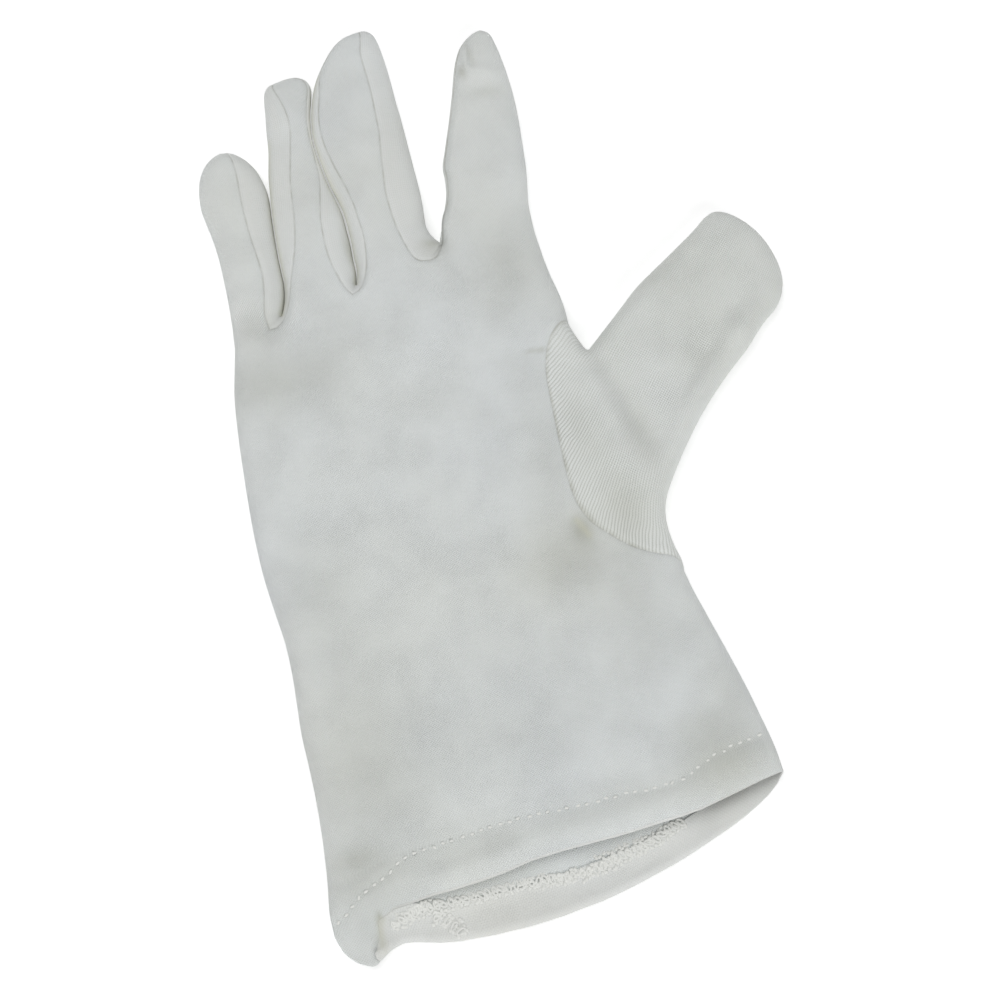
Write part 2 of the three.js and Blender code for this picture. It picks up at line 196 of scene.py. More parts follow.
# Where the strips between the fingers end below, on the back of the glove
backForks = [(-27.9, 99.6), (-5.5, 102.9), (20.9, 108.9)]


# Height of the cloth

shape = {
    "edgeRound": 5.4,       # mm that the upper cloth takes to curve over from an edge
    "underRound": 5.0,      # the same below, where the cloth turns under to the table
    "roundness": 2.15,      # 2 is a plain ellipse
    "doming": 1.1,          # mm that the middle of a wide part stands over its rim
    "domingReach": 16,
    "tableGap": 0.05,       # mm between the table and the cloth
    "grooveDepth": 0.24,    # mm that a seam sinks
    "grooveWidth": 0.32,
    "backRise": 3.0,        # mm that the lower layer arches up just inside the mouth
    "backRiseAt": 3.5,
    "backRiseWidth": 5.5,
    "backRiseEnds": (-42, -34, 34, 48),     # x where it starts, is full, is still full, and ends
    "seamRidge": 0.14,      # mm that the seam allowance under the cloth lifts it beside the seam
    "ridgeAt": 1.5,
    "ridgeWidth": 0.8,
    "puckerPitch": 2.9,     # mm between the small puckers along a seam
    "pucker": 0.07,
    "puckerWidth": 2.6,
    "rootSag": 1.5,         # mm that the lower end of a finger's cloth dips towards the wrist
    "footInset": 1.3,       # mm that a strip's lower seam lies inside the finger's edge
    "panelCloth": 0.5,      # mm that the cloth is thick
    "stripCloth": 0.35,
}

# Full height along the glove, and along the thumb from the middle of the palm
heightAlong = [(-77, 4.5), (-71, 6.0), (-66, 7.6), (-60, 8.8), (-52, 10.2), (-40, 11.2), (-35, 11.3),
               (-5, 10.8), (20, 10.9), (75, 10.9), (90, 10.2), (100, 9.2), (112, 8.4), (135, 8.0),
               (165, 7.8), (185, 7.4)]
thumbHeight = [(-30, 10.9), (34, 10.9), (45, 10.4), (60, 9.2), (75, 8.2), (90, 7.0)]
thumbStart = (45, 35)       # place in the palm from which the thumb runs at 45 degrees

# Folds and dents of the upper cloth: from x, from y, to x, to y, half width, height
folds = [
    (48.2, 66, 48.5, 57, 4.0, 1.2),       # roll of the thumb along its seam
    (48.5, 57, 50.2, 47, 4.6, 1.4),
    (50.2, 47, 51.2, 36, 5.2, 1.4),
    (51.2, 36, 55.8, 20, 5.2, 1.1),
    (54.8, 61, 57, 46, 4.6, -1.0),        # and the valley beyond it
    (57, 46, 61, 36, 5.0, -0.9),
    (104, 71, 91, 61, 4.0, 0.7),          # soft edge along the thumb
    (91, 61, 76.5, 47, 4.0, 0.9),
    (76.5, 47, 66.5, 34, 4.0, 0.9),
    (90.6, 67.6, 81, 58.5, 4.8, -0.8),    # hollow inside that edge
    (81, 58.5, 73, 50.5, 4.8, -0.8),
    (73, 50.5, 61.3, 39.6, 4.8, -0.6),
    (33.1, 21, 36, 15, 3.6, -0.9),        # dent beside the thumb's seam
    (31.6, 71.3, 39.1, 70.1, 2.4, -0.3),  # short dart
    (-37, 101, -30, 97.5, 4.5, -1.5),     # slack below the little finger
    (-41, 89, -34, 92, 6, -0.5),
    (-31, 92, -20, 95, 7, 0.35),
    (36, 101, 41, 84, 7, -0.5),           # hollow below the index finger
    (-20, 4, 14, -2, 10, -0.5),           # dip across the wrist
    (-44, -3, -26, 3, 6, 0.35),
    (42, 6, 46, -14, 7, -0.5),            # dent below the thumb
    (-30, -22, -6, -34, 8, 0.35),         # soft rises in the cuff
    (24, -20, 40, -46, 9, 0.4),
    (-47, -66, -40, -65, 10.5, -4.6),     # the mouth closes towards the pleat
    (48, -60, 63, -57, 7.5, -2.0),        # and towards the thumb side
    (43.2, 167.2, 41.8, 160.8, 0.9, 1.1), # pinch at the index fingertip
    (44.8, 167.6, 43.2, 160.6, 0.8, -0.45),
    (43.5, 158.6, 48.5, 156.8, 2.4, 0.8), # and the folds below it
    (42.5, 153.4, 49, 152.0, 2.6, -0.4),
    (32, 109, 45, 123, 5, -0.4),          # soft hollows of the index finger
    (41, 143, 48, 146, 4.5, -0.3),
    (1.7, 98.8, 16, 101, 5.5, 0.45),      # soft ridge and hollow over the knuckles
    (14, 93, 24, 82, 5.5, -0.4),
    (-21, 160, -8, 158, 3.5, 0.3),        # slack in the ring and middle fingers
    (-13, 131, -17, 141, 3.0, 0.3),
    (-1, 150, 8, 143, 4.5, 0.3),
    (41, -44, 56, -35.5, 3.4, -0.4),      # creases above the hem
    (-50, -50, -41, -49, 2.6, -0.35),
]


def blend(knots, first, last, start, end, at):
    # From start to end, as at goes from the first to the last of two knots
    width = knots[last] - knots[first]
    return (knots[last] - at) / width * start + (at - knots[first]) / width * end


def smoothLine(points, spacing):
    # A smooth line through the points, with even spacing
    known = np.array(points, float)
    ghost = np.vstack([2 * known[0] - known[1], known, 2 * known[-1] - known[-2]])
    line = []
    for near in zip(ghost, ghost[1:], ghost[2:], ghost[3:]):
        gaps = [max(np.linalg.norm(after - before), 1e-6) ** 0.5 for before, after in zip(near, near[1:])]
        knots = np.cumsum([0] + gaps)
        at = np.linspace(knots[1], knots[2], 13)[:-1, None]
        twos = [blend(knots, k, k + 1, near[k], near[k + 1], at) for k in range(3)]
        threes = [blend(knots, k, k + 2, twos[k], twos[k + 1], at) for k in range(2)]
        line.append(blend(knots, 1, 2, threes[0], threes[1], at))
    line = np.vstack(line + [known[-1:]])
    return evenly(line, max(2, int(round(lineLength(line) / spacing)) + 1))


def lineLength(line):
    return np.linalg.norm(np.diff(line[:, :2], axis=0), axis=1).sum()


def lengthsAlong(line):
    # Length in plan from the start of the line to each of its points
    return np.concatenate([[0], np.cumsum(np.linalg.norm(np.diff(line[:, :2], axis=0), axis=1))])


def evenly(line, count, easing=None):
    # The same line with that many points. easing gives the share of its length at each point.
    along = lengthsAlong(line)
    share = np.linspace(0, 1, count) if easing is None else easing
    return np.stack([np.interp(share * along[-1], along, line[:, k]) for k in range(line.shape[1])], axis=1)


edgeLines = {name: smoothLine(points, 0.9) for name, points in edges.items()}
seamLines = {name: smoothLine(points, 0.9) for name, points in seams.items()}


def nearest(points, lines):
    # Distance in plan to the nearest of the lines, the line's height there, and the length along it
    starts = np.vstack([line[:-1] for line in lines])
    ends = np.vstack([line[1:] for line in lines])
    offsets = np.concatenate([lengthsAlong(line)[:-1] for line in lines])
    run = ends[:, :2] - starts[:, :2]
    size = np.maximum((run ** 2).sum(1), 1e-12)
    away, level, place = np.zeros(len(points)), np.zeros(len(points)), np.zeros(len(points))
    blockSize = 2000        # points taken at once, to save memory
    for first in range(0, len(points), blockSize):
        block = slice(first, first + blockSize)
        some = points[block, :2]
        gap = some[:, None, :] - starts[None, :, :2]
        share = np.clip((gap * run[None]).sum(2) / size, 0, 1)
        distance = np.linalg.norm(gap - share[..., None] * run[None], axis=2)
        best = distance.argmin(1)
        rows = np.arange(len(some))
        away[block] = distance[rows, best]
        part = share[rows, best]
        place[block] = offsets[best] + part * np.sqrt(size[best])
        if starts.shape[1] > 2:
            level[block] = starts[best, 2] + part * (ends[best, 2] - starts[best, 2])
    return away, level, place


unevenness = {"waves": 26, "shortest": 11, "longest": 60, "height": 0.13}      # lengths and height in mm
waveDraw = np.random.default_rng(7)
waves = []
for _ in range(unevenness["waves"]):
    turn = waveDraw.uniform(0, math.tau)
    length = waveDraw.uniform(unevenness["shortest"], unevenness["longest"])
    waves.append((turn, length, waveDraw.uniform(0, math.tau)))


def softWaves(x, y):
    # Slight unevenness of cloth that was worn and laid down
    total = np.zeros_like(x)
    for turn, length, phase in waves:
        place = x * math.cos(turn) + y * math.sin(turn)
        total += length / unevenness["longest"] * np.sin(place * math.tau / length + phase)
    return unevenness["height"] * total


def bell(distance, width):
    # 1 where the distance is 0, fading out over the width
    return np.exp(-((distance / width) ** 2))


def foldHeight(x, y):
    total = np.zeros_like(x)
    for x0, y0, x1, y1, halfWidth, peak in folds:
        run = np.array([x1 - x0, y1 - y0], float)
        share = np.clip(((x - x0) * run[0] + (y - y0) * run[1]) / (run ** 2).sum(), 0, 1)
        away = np.hypot(x - x0 - share * run[0], y - y0 - share * run[1])
        total += peak * bell(away, halfWidth)
    return total


def roundOver(distance, reach):
    share = np.clip(distance / reach, 0, 1)
    return (1 - (1 - share) ** shape["roundness"]) ** (1 / shape["roundness"])


def alongThumbAt(x, y):
    return ((x - thumbStart[0]) + (y - thumbStart[1])) * math.sqrt(0.5)


def acrossThumbAt(x, y):
    return ((x - thumbStart[0]) - (y - thumbStart[1])) * math.sqrt(0.5)


# Hem, its stitches and the pleat at its corner

stitching = {
    # Path of the running stitches across the hem, x and y
    "path": [
        (-54.2, -64.0), (-51.0, -61.9), (-48.3, -59.6), (-45.4, -58.0), (-42.2, -56.8),
        (-39.7, -56.0), (-37.3, -54.8), (-34.9, -53.7), (-32.6, -52.9), (-30.0, -52.5),
        (-24.6, -52.2), (-16.9, -51.8), (-11.6, -51.4), (-6.6, -51.3), (-2.5, -51.0),
        (2.3, -51.3), (6.6, -52.0), (11.5, -52.4), (15.5, -52.3), (20.2, -52.3),
        (24.7, -52.4), (29.7, -52.9), (34.7, -53.2), (39.2, -52.7), (43.6, -51.4),
        (47.3, -49.9), (50.2, -49.1), (53.0, -48.5), (57.9, -47.6), (63.2, -47.0),
    ],
    "pitch": 2.5,           # this and the sizes in mm
    "length": 1.4,
    "thickness": 0.8,
    "groove": 0.55,         # mm that they pull the cloth down
    "grooveWidth": 0.8,
    "rim": 0.18,            # mm that it swells beside them
    "rimAt": 2.4,
    "rimWidth": 1.6,
    "lean": (0.18, 0.0, 0.22),      # mm that they wander, radians that they lean, and how much that varies
    "colour": "e9eae6",
}

overlock = {
    # Loops that bind the cut edge of the hem inside the lower layer, x and y
    "edge": [
        (-40.8, -67.6), (-37.4, -66.5), (-32.9, -65.4), (-26.5, -65.6), (-21.1, -65.9),
        (-15.3, -65.9), (-9.6, -65.8), (-4.1, -66.1), (1.4, -67.0), (9.1, -67.8), (13.6, -67.4),
        (16.5, -67.0), (21.6, -66.0), (27.8, -65.0), (33.0, -63.2), (38.0, -62.0),
    ],
    "sideSeam": [(-23.8, -74.6), (-25.4, -71.9), (-27.6, -69.6), (-30.2, -67.9)],
    "upperRow": [(13.0, -64.2), (18.3, -63.7), (23.2, -63.3), (28.0, -62.8)],
    "pitch": 1.9,           # this and the sizes in mm
    "loopLength": 3.2,
    "loopWidth": 1.9,
    "thread": 0.75,
    "sunk": 0.36,
    # Along each path the same three values as for the stitches
    "lean": {"edge": (0.16, 0.35, 0.3), "sideSeam": (0.2, -0.3, 0.35)},
    "knotLean": (0.28, 0.6, 0.8),
    "knotPitch": 1.1,
    "knotSize": (1.35, 1.0, 0.6),
    # Rows of bumps, mm to the left of each path
    "knotRows": {"edge": (-1.5, -0.2, 1.3), "sideSeam": (-1.5, -0.2, 1.3), "upperRow": (-0.5, 0.4)},
    "colour": "e9eae6",
}

hem = {
    "depth": 9.0,               # mm that the cloth is turned in
    "depthAtThumb": 7.6,
    "depthChange": (10, 35),    # x between which it gets less deep
    "lip": 1.4,                 # radius of the rolled edge, mm
    "inset": 1.1,               # mm from the edge of the panels to the outside of the roll
    "insetStart": (-45, -39),   # x between which that begins, at the pleat
    "narrowing": ((34, 64), (1, 0.22)),     # x, and the share of the roll that is left there
    "swell": 0.6,               # mm that the doubled cloth stands up, and how far from its edge
    "swellAt": 6.4,
    "swellWidth": 2.4,
    "edgeFall": 2.6,            # mm that the cloth falls towards the edge, and from how far
    "edgeFallReach": 5.4,
    "end": 0.9,                 # mm between the panel and the cut end of the turned-in cloth
    "cloth": 0.5,
    "lipSteps": 8,
    "rows": 12,
}

pleat = {
    "upperX": -43.8,            # where it begins in the upper and in the lower layer
    "lowerX": -45.2,
    "level": 1.8,               # height that the cloth is pressed down to, mm
    "pressed": 0.9,             # share of the way down to it
    "width": 1.7,
    "bulge": 0.9,               # mm that the cloth stands up beside it
    "bulgeAt": 3.2,
    "bulgeWidth": 1.5,
}


def narrowing(x):
    # Share that is left of the rolled edge towards the corner on the thumb side
    return np.interp(x, *hem["narrowing"])


stitchLine = smoothLine(stitching["path"], 0.5)
hemLine = smoothLine(mouthUpper[3:], 0.6)
pleatLine = np.array([(-43.9, -65.2), (-44.0, -67.0), (-44.3, -70.0), (-44.7, -73.4)], float)


def seamRelief(points, lines):
    away, _, place = nearest(points, lines)
    groove = -shape["grooveDepth"] * bell(away, shape["grooveWidth"])
    ridge = shape["seamRidge"] * bell(away - shape["ridgeAt"], shape["ridgeWidth"])
    # The second sine makes the puckers come at uneven distances
    ripple = np.sin(place * math.tau / shape["puckerPitch"] + 1.3 * np.sin(place / 7.0))
    return groove + ridge + shape["pucker"] * ripple * bell(away, shape["puckerWidth"])


def hemRelief(points):
    # Groove of the running stitches, and the soft roll of the hem's edge
    low = points[:, 1] < -40        # nothing of it reaches further up
    relief = np.zeros(len(points))
    if low.any():
        away, _, place = nearest(points[low], [stitchLine])
        pull = 0.6 + 0.4 * np.cos(place * math.tau / stitching["pitch"])
        relief[low] -= stitching["groove"] * pull * bell(away, stitching["grooveWidth"])
        relief[low] += stitching["rim"] * bell(away - stitching["rimAt"], stitching["rimWidth"])
        fromEdge, _, _ = nearest(points[low], [hemLine])
        relief[low] += hem["swell"] * bell(fromEdge - hem["swellAt"], hem["swellWidth"])
        relief[low] -= hem["edgeFall"] * np.clip(1 - fromEdge / hem["edgeFallReach"], 0, 1) ** 1.8
    return relief


def upperCloth(plan, lines, seamsHere, onEdge, thumb=False):
    # Points of the upper layer over their places in plan
    x, y = plan[:, 0], plan[:, 1]
    away, level, _ = nearest(plan, lines)
    away[onEdge] = 0
    if thumb:
        full = np.interp(alongThumbAt(x, y), *zip(*thumbHeight))
    else:
        full = np.interp(y, *zip(*heightAlong))
    full = full + shape["doming"] * (1 - bell(away, shape["domingReach"]))
    full = full + foldHeight(x, y) + softWaves(x, y)
    full = full + seamRelief(plan, seamsHere) + hemRelief(plan)
    share = roundOver(away, shape["edgeRound"])
    return np.column_stack([x, y, level + (full - level) * share])


def lowerCloth(plan, lines, onEdge):
    # The lower layer lies on the table, with a little unevenness
    x, y = plan[:, 0], plan[:, 1]
    away, level, _ = nearest(plan, lines)
    away[onEdge] = 0
    share = roundOver(away, shape["underRound"])
    rest = shape["tableGap"] + np.maximum(0, 0.8 * softWaves(x * 1.7, y * 1.7 + 40))
    fromRise = y - np.interp(x, *zip(*mouthUpper)) - shape["backRiseAt"]
    rise = shape["backRise"] * np.interp(x, shape["backRiseEnds"], (0, 1, 1, 0))
    rest = rest + rise * bell(fromRise, shape["backRiseWidth"])
    return np.column_stack([x, y, level + (rest - level) * share])


def lift(plan, lines, seamsHere, edgeColumns=(), under=False, thumb=False):
    # A grid in plan becomes a grid in space. edgeColumns are those that lie on an edge.
    onEdge = np.zeros(plan.shape[:2], bool)
    for column in edgeColumns:
        onEdge[:, column] = True
    flat = plan.reshape(-1, 2)
    if under:
        surface = lowerCloth(flat, lines, onEdge.ravel())
    else:
        surface = upperCloth(flat, lines, seamsHere, onEdge.ravel(), thumb)
    return surface.reshape(*plan.shape[:2], 3)


# Grids of the cloth

grid = {
    "fingerRows": 88,
    "panelColumns": {"little": 22, "ring": 34, "middle": 34, "index": 44},
    "stripColumns": 14,     # from a finger's seam to its edge
    "underColumns": 5,      # from that edge to the seam below
    "cuffRows": 64,         # from the mouth to the thumb hole
    "thumbRows": 112,
    "thumbColumns": 112,
    "sideRows": 32,         # from the thumb hole to the fingers
    "cornerRows": 14,
    "hemRows": 24,          # rows of a panel that the hem may reach
    "rootRows": 42,         # rows of a panel that give way to the roots of the fingers
    "easedRows": 12,        # rows in which a finger or a strip takes up the edge that it is joined to
    "besideRows": 26,       # rows in which a seam's points come to lie straight across from the edge's
    "footRows": 9,          # rows in which the foot of a strip comes to lie inside the finger's edge
}


def eased(share):
    return share * share * (3 - 2 * share)


def gathered(count, pull=0.68):
    # Shares from 0 to 1 that lie closer together towards both ends
    even = np.linspace(0, 1, count + 1)
    return even - pull * np.sin(even * math.tau) / math.tau


def spreadGrid(left, right, shares):
    # Rows of points between two lines: row, column, coordinate
    return left[:, None, :2] + (right[:, :2] - left[:, :2])[:, None] * shares[None, :, None]


def easedRows(surface, firstRow):
    # The grid starts at the given row and eases back to its own shape
    ease = eased(np.clip(1 - np.arange(len(surface)) / grid["easedRows"], 0, 1))
    return surface + ease[:, None, None] * (firstRow - surface[0])[None]


fingers = ["little", "ring", "middle", "index"]
forkPoints = [np.array(seams[name][0], float) for name in ("littleRight", "ringRight", "middleRight")]
outerRoot = np.array(edges["littleLeft"][0][:2], float)
innerRoot = np.array(edges["indexRight"][0][:2], float)
fingerRoots = [outerRoot, *forkPoints, innerRoot]
backRoots = [outerRoot, *(np.array(point, float) for point in backForks), innerRoot]


def beside(seam, edge):
    # Points of the seam: evenly spaced at its start, and further on straight across from the edge
    _, _, place = nearest(edge, [seam])
    length = lineLength(seam)
    ease = eased(np.clip(np.arange(len(edge)) / grid["besideRows"], 0, 1))
    place = (1 - ease) * np.linspace(0, length, len(edge)) + ease * place
    place[-1] = length
    # No two points come closer than a quarter of their even distance
    step = 0.25 * length / len(edge)
    place = np.maximum.accumulate(place - step * np.arange(len(edge))) + step * np.arange(len(edge))
    return evenly(seam, len(edge), np.minimum(place / place[-1], 1))


fingerEdges, fingerSeams = {}, {}
for finger in fingers:
    for side in ("Left", "Right"):
        name = finger + side
        fingerEdges[name] = evenly(edgeLines[name], grid["fingerRows"] + 1)
        fingerSeams[name] = fingerEdges[name]
        if name in seamLines:
            fingerSeams[name] = beside(seamLines[name], fingerEdges[name])


def footLine(edge, other, start):
    # Where a strip meets the back of the glove, just inside the finger's edge
    toward = (other - edge)[:, :2]
    width = np.linalg.norm(toward, axis=1)
    toward /= np.maximum(width, 1e-6)[:, None]
    line = edge[:, :2] + toward * np.minimum(shape["footInset"], width * 0.3)[:, None]
    ease = np.clip(1 - np.arange(len(line)) / grid["footRows"], 0, 1) ** 2
    return line + (start - line[0]) * ease[:, None]


footLines = {}
for number, finger in enumerate(fingers):
    left, right = fingerEdges[finger + "Left"], fingerEdges[finger + "Right"]
    leftFoot = footLine(left, right, backRoots[number])
    rightFoot = footLine(right, left, backRoots[number + 1])
    footLines[finger + "Left"] = left[:, :2] if finger == "little" else leftFoot
    footLines[finger + "Right"] = right[:, :2] if finger == "index" else rightFoot

# Columns of the body of the glove, from the little-finger side to the thumb side
columnShares, backShares = [0.0], [0.0]
for number, finger in enumerate(fingers):
    for store, roots in ((columnShares, fingerRoots), (backShares, backRoots)):
        width = roots[-1][0] - roots[0][0]
        start = (roots[number][0] - roots[0][0]) / width
        end = (roots[number + 1][0] - roots[0][0]) / width
        store.extend(start + (end - start) * gathered(grid["panelColumns"][finger])[1:])
columnShares, backShares = np.array(columnShares), np.array(backShares)

# Left and right ends of the body's rows
holeRows = slice(grid["cuffRows"], grid["cuffRows"] + grid["thumbRows"] + 1)
# The rows of the cuff lie closer together near its mouth
cuffShares = np.interp(np.linspace(0, 1, grid["cuffRows"] + 1), [0, 0.45, 1], [0, 0.28, 1])
bodyRight = np.vstack([
    evenly(edgeLines["cuffSide"], grid["cuffRows"] + 1, cuffShares)[:, :2],
    evenly(seamLines["thumbHole"][::-1], grid["thumbRows"] + 1)[1:, :2],
    evenly(edgeLines["palmSide"], grid["sideRows"] + 1)[1:, :2],
])
bodyRows = len(bodyRight)
outerLine = edgeLines["outerSide"]
stopsY = [mouthUpper[0][1], seams["thumbHole"][-1][1], seams["thumbHole"][0][1], edges["outerSide"][-1][1]]
outerStops = np.interp(stopsY, outerLine[:, 1], np.linspace(0, 1, len(outerLine)))
outerShares = np.concatenate([
    outerStops[0] + (outerStops[1] - outerStops[0]) * cuffShares,
    np.linspace(outerStops[1], outerStops[2], grid["thumbRows"] + 1)[1:],
    np.linspace(outerStops[2], outerStops[3], grid["sideRows"] + 1)[1:],
])
bodyLeft = evenly(outerLine, bodyRows, outerShares)[:, :2]


def bodyGrid(shares, mouth, inset, roots):
    # Rows from the mouth of the cuff to the roots of the fingers
    plan = spreadGrid(bodyLeft, bodyRight, shares)
    mouthX, rootX = plan[0, :, 0], plan[-1, :, 0]
    insetHere = inset * np.interp(mouthX, hem["insetStart"], (0, 1)) * narrowing(mouthX)
    mouthY = np.interp(mouthX, *zip(*mouth)) + insetHere
    rootY = np.interp(rootX, *zip(*roots))
    between = np.interp(rootX, [root[0] for root in roots], np.arange(len(roots))) % 1
    rootY -= shape["rootSag"] * 4 * between * (1 - between)
    row = np.arange(bodyRows)
    low = eased(np.clip(1 - row / (grid["cuffRows"] * 0.75), 0, 1))
    high = eased(np.clip(1 - (bodyRows - 1 - row) / grid["rootRows"], 0, 1))
    lowMove, highMove = mouthY - plan[0, :, 1], rootY - plan[-1, :, 1]
    plan[:, :, 1] += low[:, None] * lowMove[None] + high[:, None] * highMove[None]
    return plan


def settled(plan, rounds):
    # Moves the points inside a grid until its cells are even and none is folded over
    for _ in range(rounds):
        down = (plan[2:, 1:-1] - plan[:-2, 1:-1]) / 2
        across = (plan[1:-1, 2:] - plan[1:-1, :-2]) / 2
        wide = (across ** 2).sum(2)[..., None]
        skew = (across * down).sum(2)[..., None]
        high = (down ** 2).sum(2)[..., None]
        twist = plan[2:, 2:] - plan[2:, :-2] - plan[:-2, 2:] + plan[:-2, :-2]
        upDown = wide * (plan[2:, 1:-1] + plan[:-2, 1:-1])
        leftRight = high * (plan[1:-1, 2:] + plan[1:-1, :-2])
        plan[1:-1, 1:-1] = (upDown + leftRight - skew * twist / 2) / (2 * (wide + high) + 1e-9)
    return plan


def patchGrid(firstRow, lastRow, left, right):
    # A grid inside four lines, settled at a quarter of its size first
    step, plan = 4, None
    while step:
        top, bottom, near, far = firstRow[::step], lastRow[::step], left[::step], right[::step]
        if plan is None:
            across = np.linspace(0, 1, len(top))[None, :, None]
            down = np.linspace(0, 1, len(near))[:, None, None]
            plan = (1 - across) * near[:, None] + across * far[:, None]
            plan = plan + (1 - down) * (top - (1 - across[0]) * top[0] - across[0] * top[-1])[None]
            rounds = 900
        else:
            finer = np.zeros((len(near), len(top), 2))
            finer[::2, ::2] = plan
            finer[1::2, ::2] = (plan[1:] + plan[:-1]) / 2
            finer[:, 1::2] = (finer[:, 2::2] + finer[:, :-2:2]) / 2
            plan, rounds = finer, 120
        plan[0], plan[-1], plan[:, 0], plan[:, -1] = top, bottom, near, far
        plan = settled(plan, rounds)
        step //= 2
    return plan


# Meshes

def choose(piece):
    bpy.ops.object.select_all(action="DESELECT")
    piece.select_set(True)
    bpy.context.view_layer.objects.active = piece


def clothObject(name, patches):
    # One object from patches. Each has its points by row and column in mm, its place in the knit in mm,
    # and whether it is turned over.
    points, faces, knit = [], [], []
    first = 0
    for surface, pattern, turned in patches:
        rows, columns = surface.shape[:2]
        for r in range(rows - 1):
            for c in range(columns - 1):
                a = first + r * columns + c
                quad = (a, a + 1, a + columns + 1, a + columns)
                faces.append(quad[::-1] if turned else quad)
        first += rows * columns
        points.append(surface.reshape(-1, 3))
        knit.append(pattern.reshape(-1, 2))
    points, knit = np.vstack(points), np.vstack(knit)
    mesh = bpy.data.meshes.new(name)
    mesh.from_pydata((points / 1000).tolist(), [], faces)
    corners = np.zeros(len(mesh.loops), int)
    mesh.loops.foreach_get("vertex_index", corners)
    layer = mesh.uv_layers.new(name="knit")
    layer.data.foreach_set("uv", (knit / 1000)[corners].ravel().astype(np.float32))
    piece = bpy.data.objects.new(name, mesh)
    bpy.context.scene.collection.objects.link(piece)
    choose(piece)
    bpy.ops.object.mode_set(mode="EDIT")
    bpy.ops.mesh.select_all(action="SELECT")
    bpy.ops.mesh.remove_doubles(threshold=0.00001)
    bpy.ops.object.mode_set(mode="OBJECT")
    bpy.ops.object.shade_smooth()
    return piece


def knitOf(surface):
    # Plan positions, with the columns as far apart as along the cloth where it turns down at a side
    step = np.diff(surface, axis=1)
    more = np.linalg.norm(step, axis=2) - np.linalg.norm(step[..., :2], axis=2)
    more = np.pad(np.cumsum(more, axis=1), ((0, 0), (1, 0)))
    more -= more[:, [more.shape[1] // 2]]
    return np.stack([surface[..., 0] + more, surface[..., 1]], axis=2)


# Painted shade: soft darker patches where the cloth lies in shade, in its hollows and folds and away
# from the lights: x, y, half widths along x and y, share
paintedShades = [
    (34.4, 18.2, 3.0, 4.2, 0.55),
    (31.0, 42.0, 7.0, 24.0, 0.14),
    (46.0, -8.0, 12.0, 16.0, 0.14),
    (52.0, -51.0, 12.0, 7.0, 0.5),
    (10.0, -55.5, 46.0, 4.5, 0.2),
    (-44.0, -56.0, 12.0, 8.0, 0.28),
    (-33.0, 80.0, 17.0, 9.0, 0.36),
    (-33.5, 98.0, 7.0, 8.0, 0.24),
    (58.0, -33.0, 6.0, 9.0, 0.18),
    (36.0, 98.0, 9.0, 14.0, 0.26),
    (-35.0, -30.0, 16.0, 20.0, 0.26),
    (-38.0, 20.0, 14.0, 16.0, 0.14),
    (46.0, 151.6, 5.0, 2.2, 0.2),
    (27.0, 11.0, 12.0, 10.0, 0.34),
    (50.0, -41.0, 11.0, 5.0, 0.2),
    (-45.5, -49.5, 6.0, 3.0, 0.2),
    (8.0, -28.0, 24.0, 14.0, 0.12),
    (18.5, 107.5, 4.5, 3.5, 0.3),
    (47.5, 19.0, 6.0, 9.0, 0.3),
    (41.5, 46.0, 5.0, 15.0, 0.2),
    (57.5, 42.0, 4.0, 12.0, 0.2),
    (78.0, 56.0, 6.0, 5.0, 0.12),
    (40.3, 159.4, 1.3, 2.0, 0.5),
    (44.0, 164.0, 0.8, 4.0, 0.3),
    (18.0, 110.0, 3.0, 1.3, 0.4),
    (-43.4, -64.4, 0.9, 1.2, 0.6),
    (35.2, 70.4, 1.5, 0.6, 0.4),
    (37.9, 69.8, 1.5, 0.6, 0.5),
    (-5.2, 115.0, 0.9, 5.0, 0.3),
]


# Share of painted shade at a place, summed over the table
def paintedShadeAt(x, y):
    total = np.zeros_like(x)
    for x0, y0, wide, high, share in paintedShades:
        total += share * bell(x - x0, wide) * bell(y - y0, high)
    return total


# mm from a seam, a crease or the stretched knit at which their marks fade
markWidths = {"seam": 0.18, "crease": 0.9, "thumbRibs": 9, "fingerRibs": 6}


def addMarks(piece, ribbedAt, ribReach):
    # Values that the materials read: how near a seam, a crease and the stretched, ribbed knit are,
    # and the painted shades
    places = np.zeros(len(piece.data.vertices) * 3)
    piece.data.vertices.foreach_get("co", places)
    places = places.reshape(-1, 3) * 1000
    fromSeam, _, _ = nearest(places, allSeams)
    fromRibs, _, _ = nearest(places, [ribbedAt])
    fromCrease, _, _ = nearest(places, creaseShadeLines)
    marks = {
        "seam": bell(fromSeam, markWidths["seam"]),
        "crease": bell(fromCrease, markWidths["crease"]),
        "ribs": bell(fromRibs, ribReach),
        "shade": paintedShadeAt(places[:, 0], places[:, 1]),
    }
    for name, values in marks.items():
        layer = piece.data.attributes.new(name, "FLOAT", "POINT")
        layer.data.foreach_set("value", values.astype(np.float32))


def thicken(piece, thickness):
    wall = piece.modifiers.new("wall", "SOLIDIFY")
    wall.thickness = thickness / 1000
    wall.offset = -1
    wall.use_even_offset = False
    choose(piece)
    bpy.ops.object.modifier_apply(modifier=wall.name)
    bpy.ops.object.shade_smooth_by_angle(angle=math.radians(50))


allSeams = list(seamLines.values())
bodyEdges = list(edgeLines.values())
# Painted shade in creases: the lower ends of two fingers' edges, the pleat, the notch at the thumb and the
# dent by its seam
creaseShadeLines = [
    edgeLines["ringLeft"][:60, :2],
    edgeLines["middleLeft"][:75, :2],
    np.array([(-43.4, -65.4), (-44.2, -69.0), (-44.6, -73.0)], float),
    np.array([(49.4, 72.4), (50.4, 70.6), (52.0, 70.6)], float),
    np.array([(33.5, 20.6), (35.6, 16.0)], float),
]

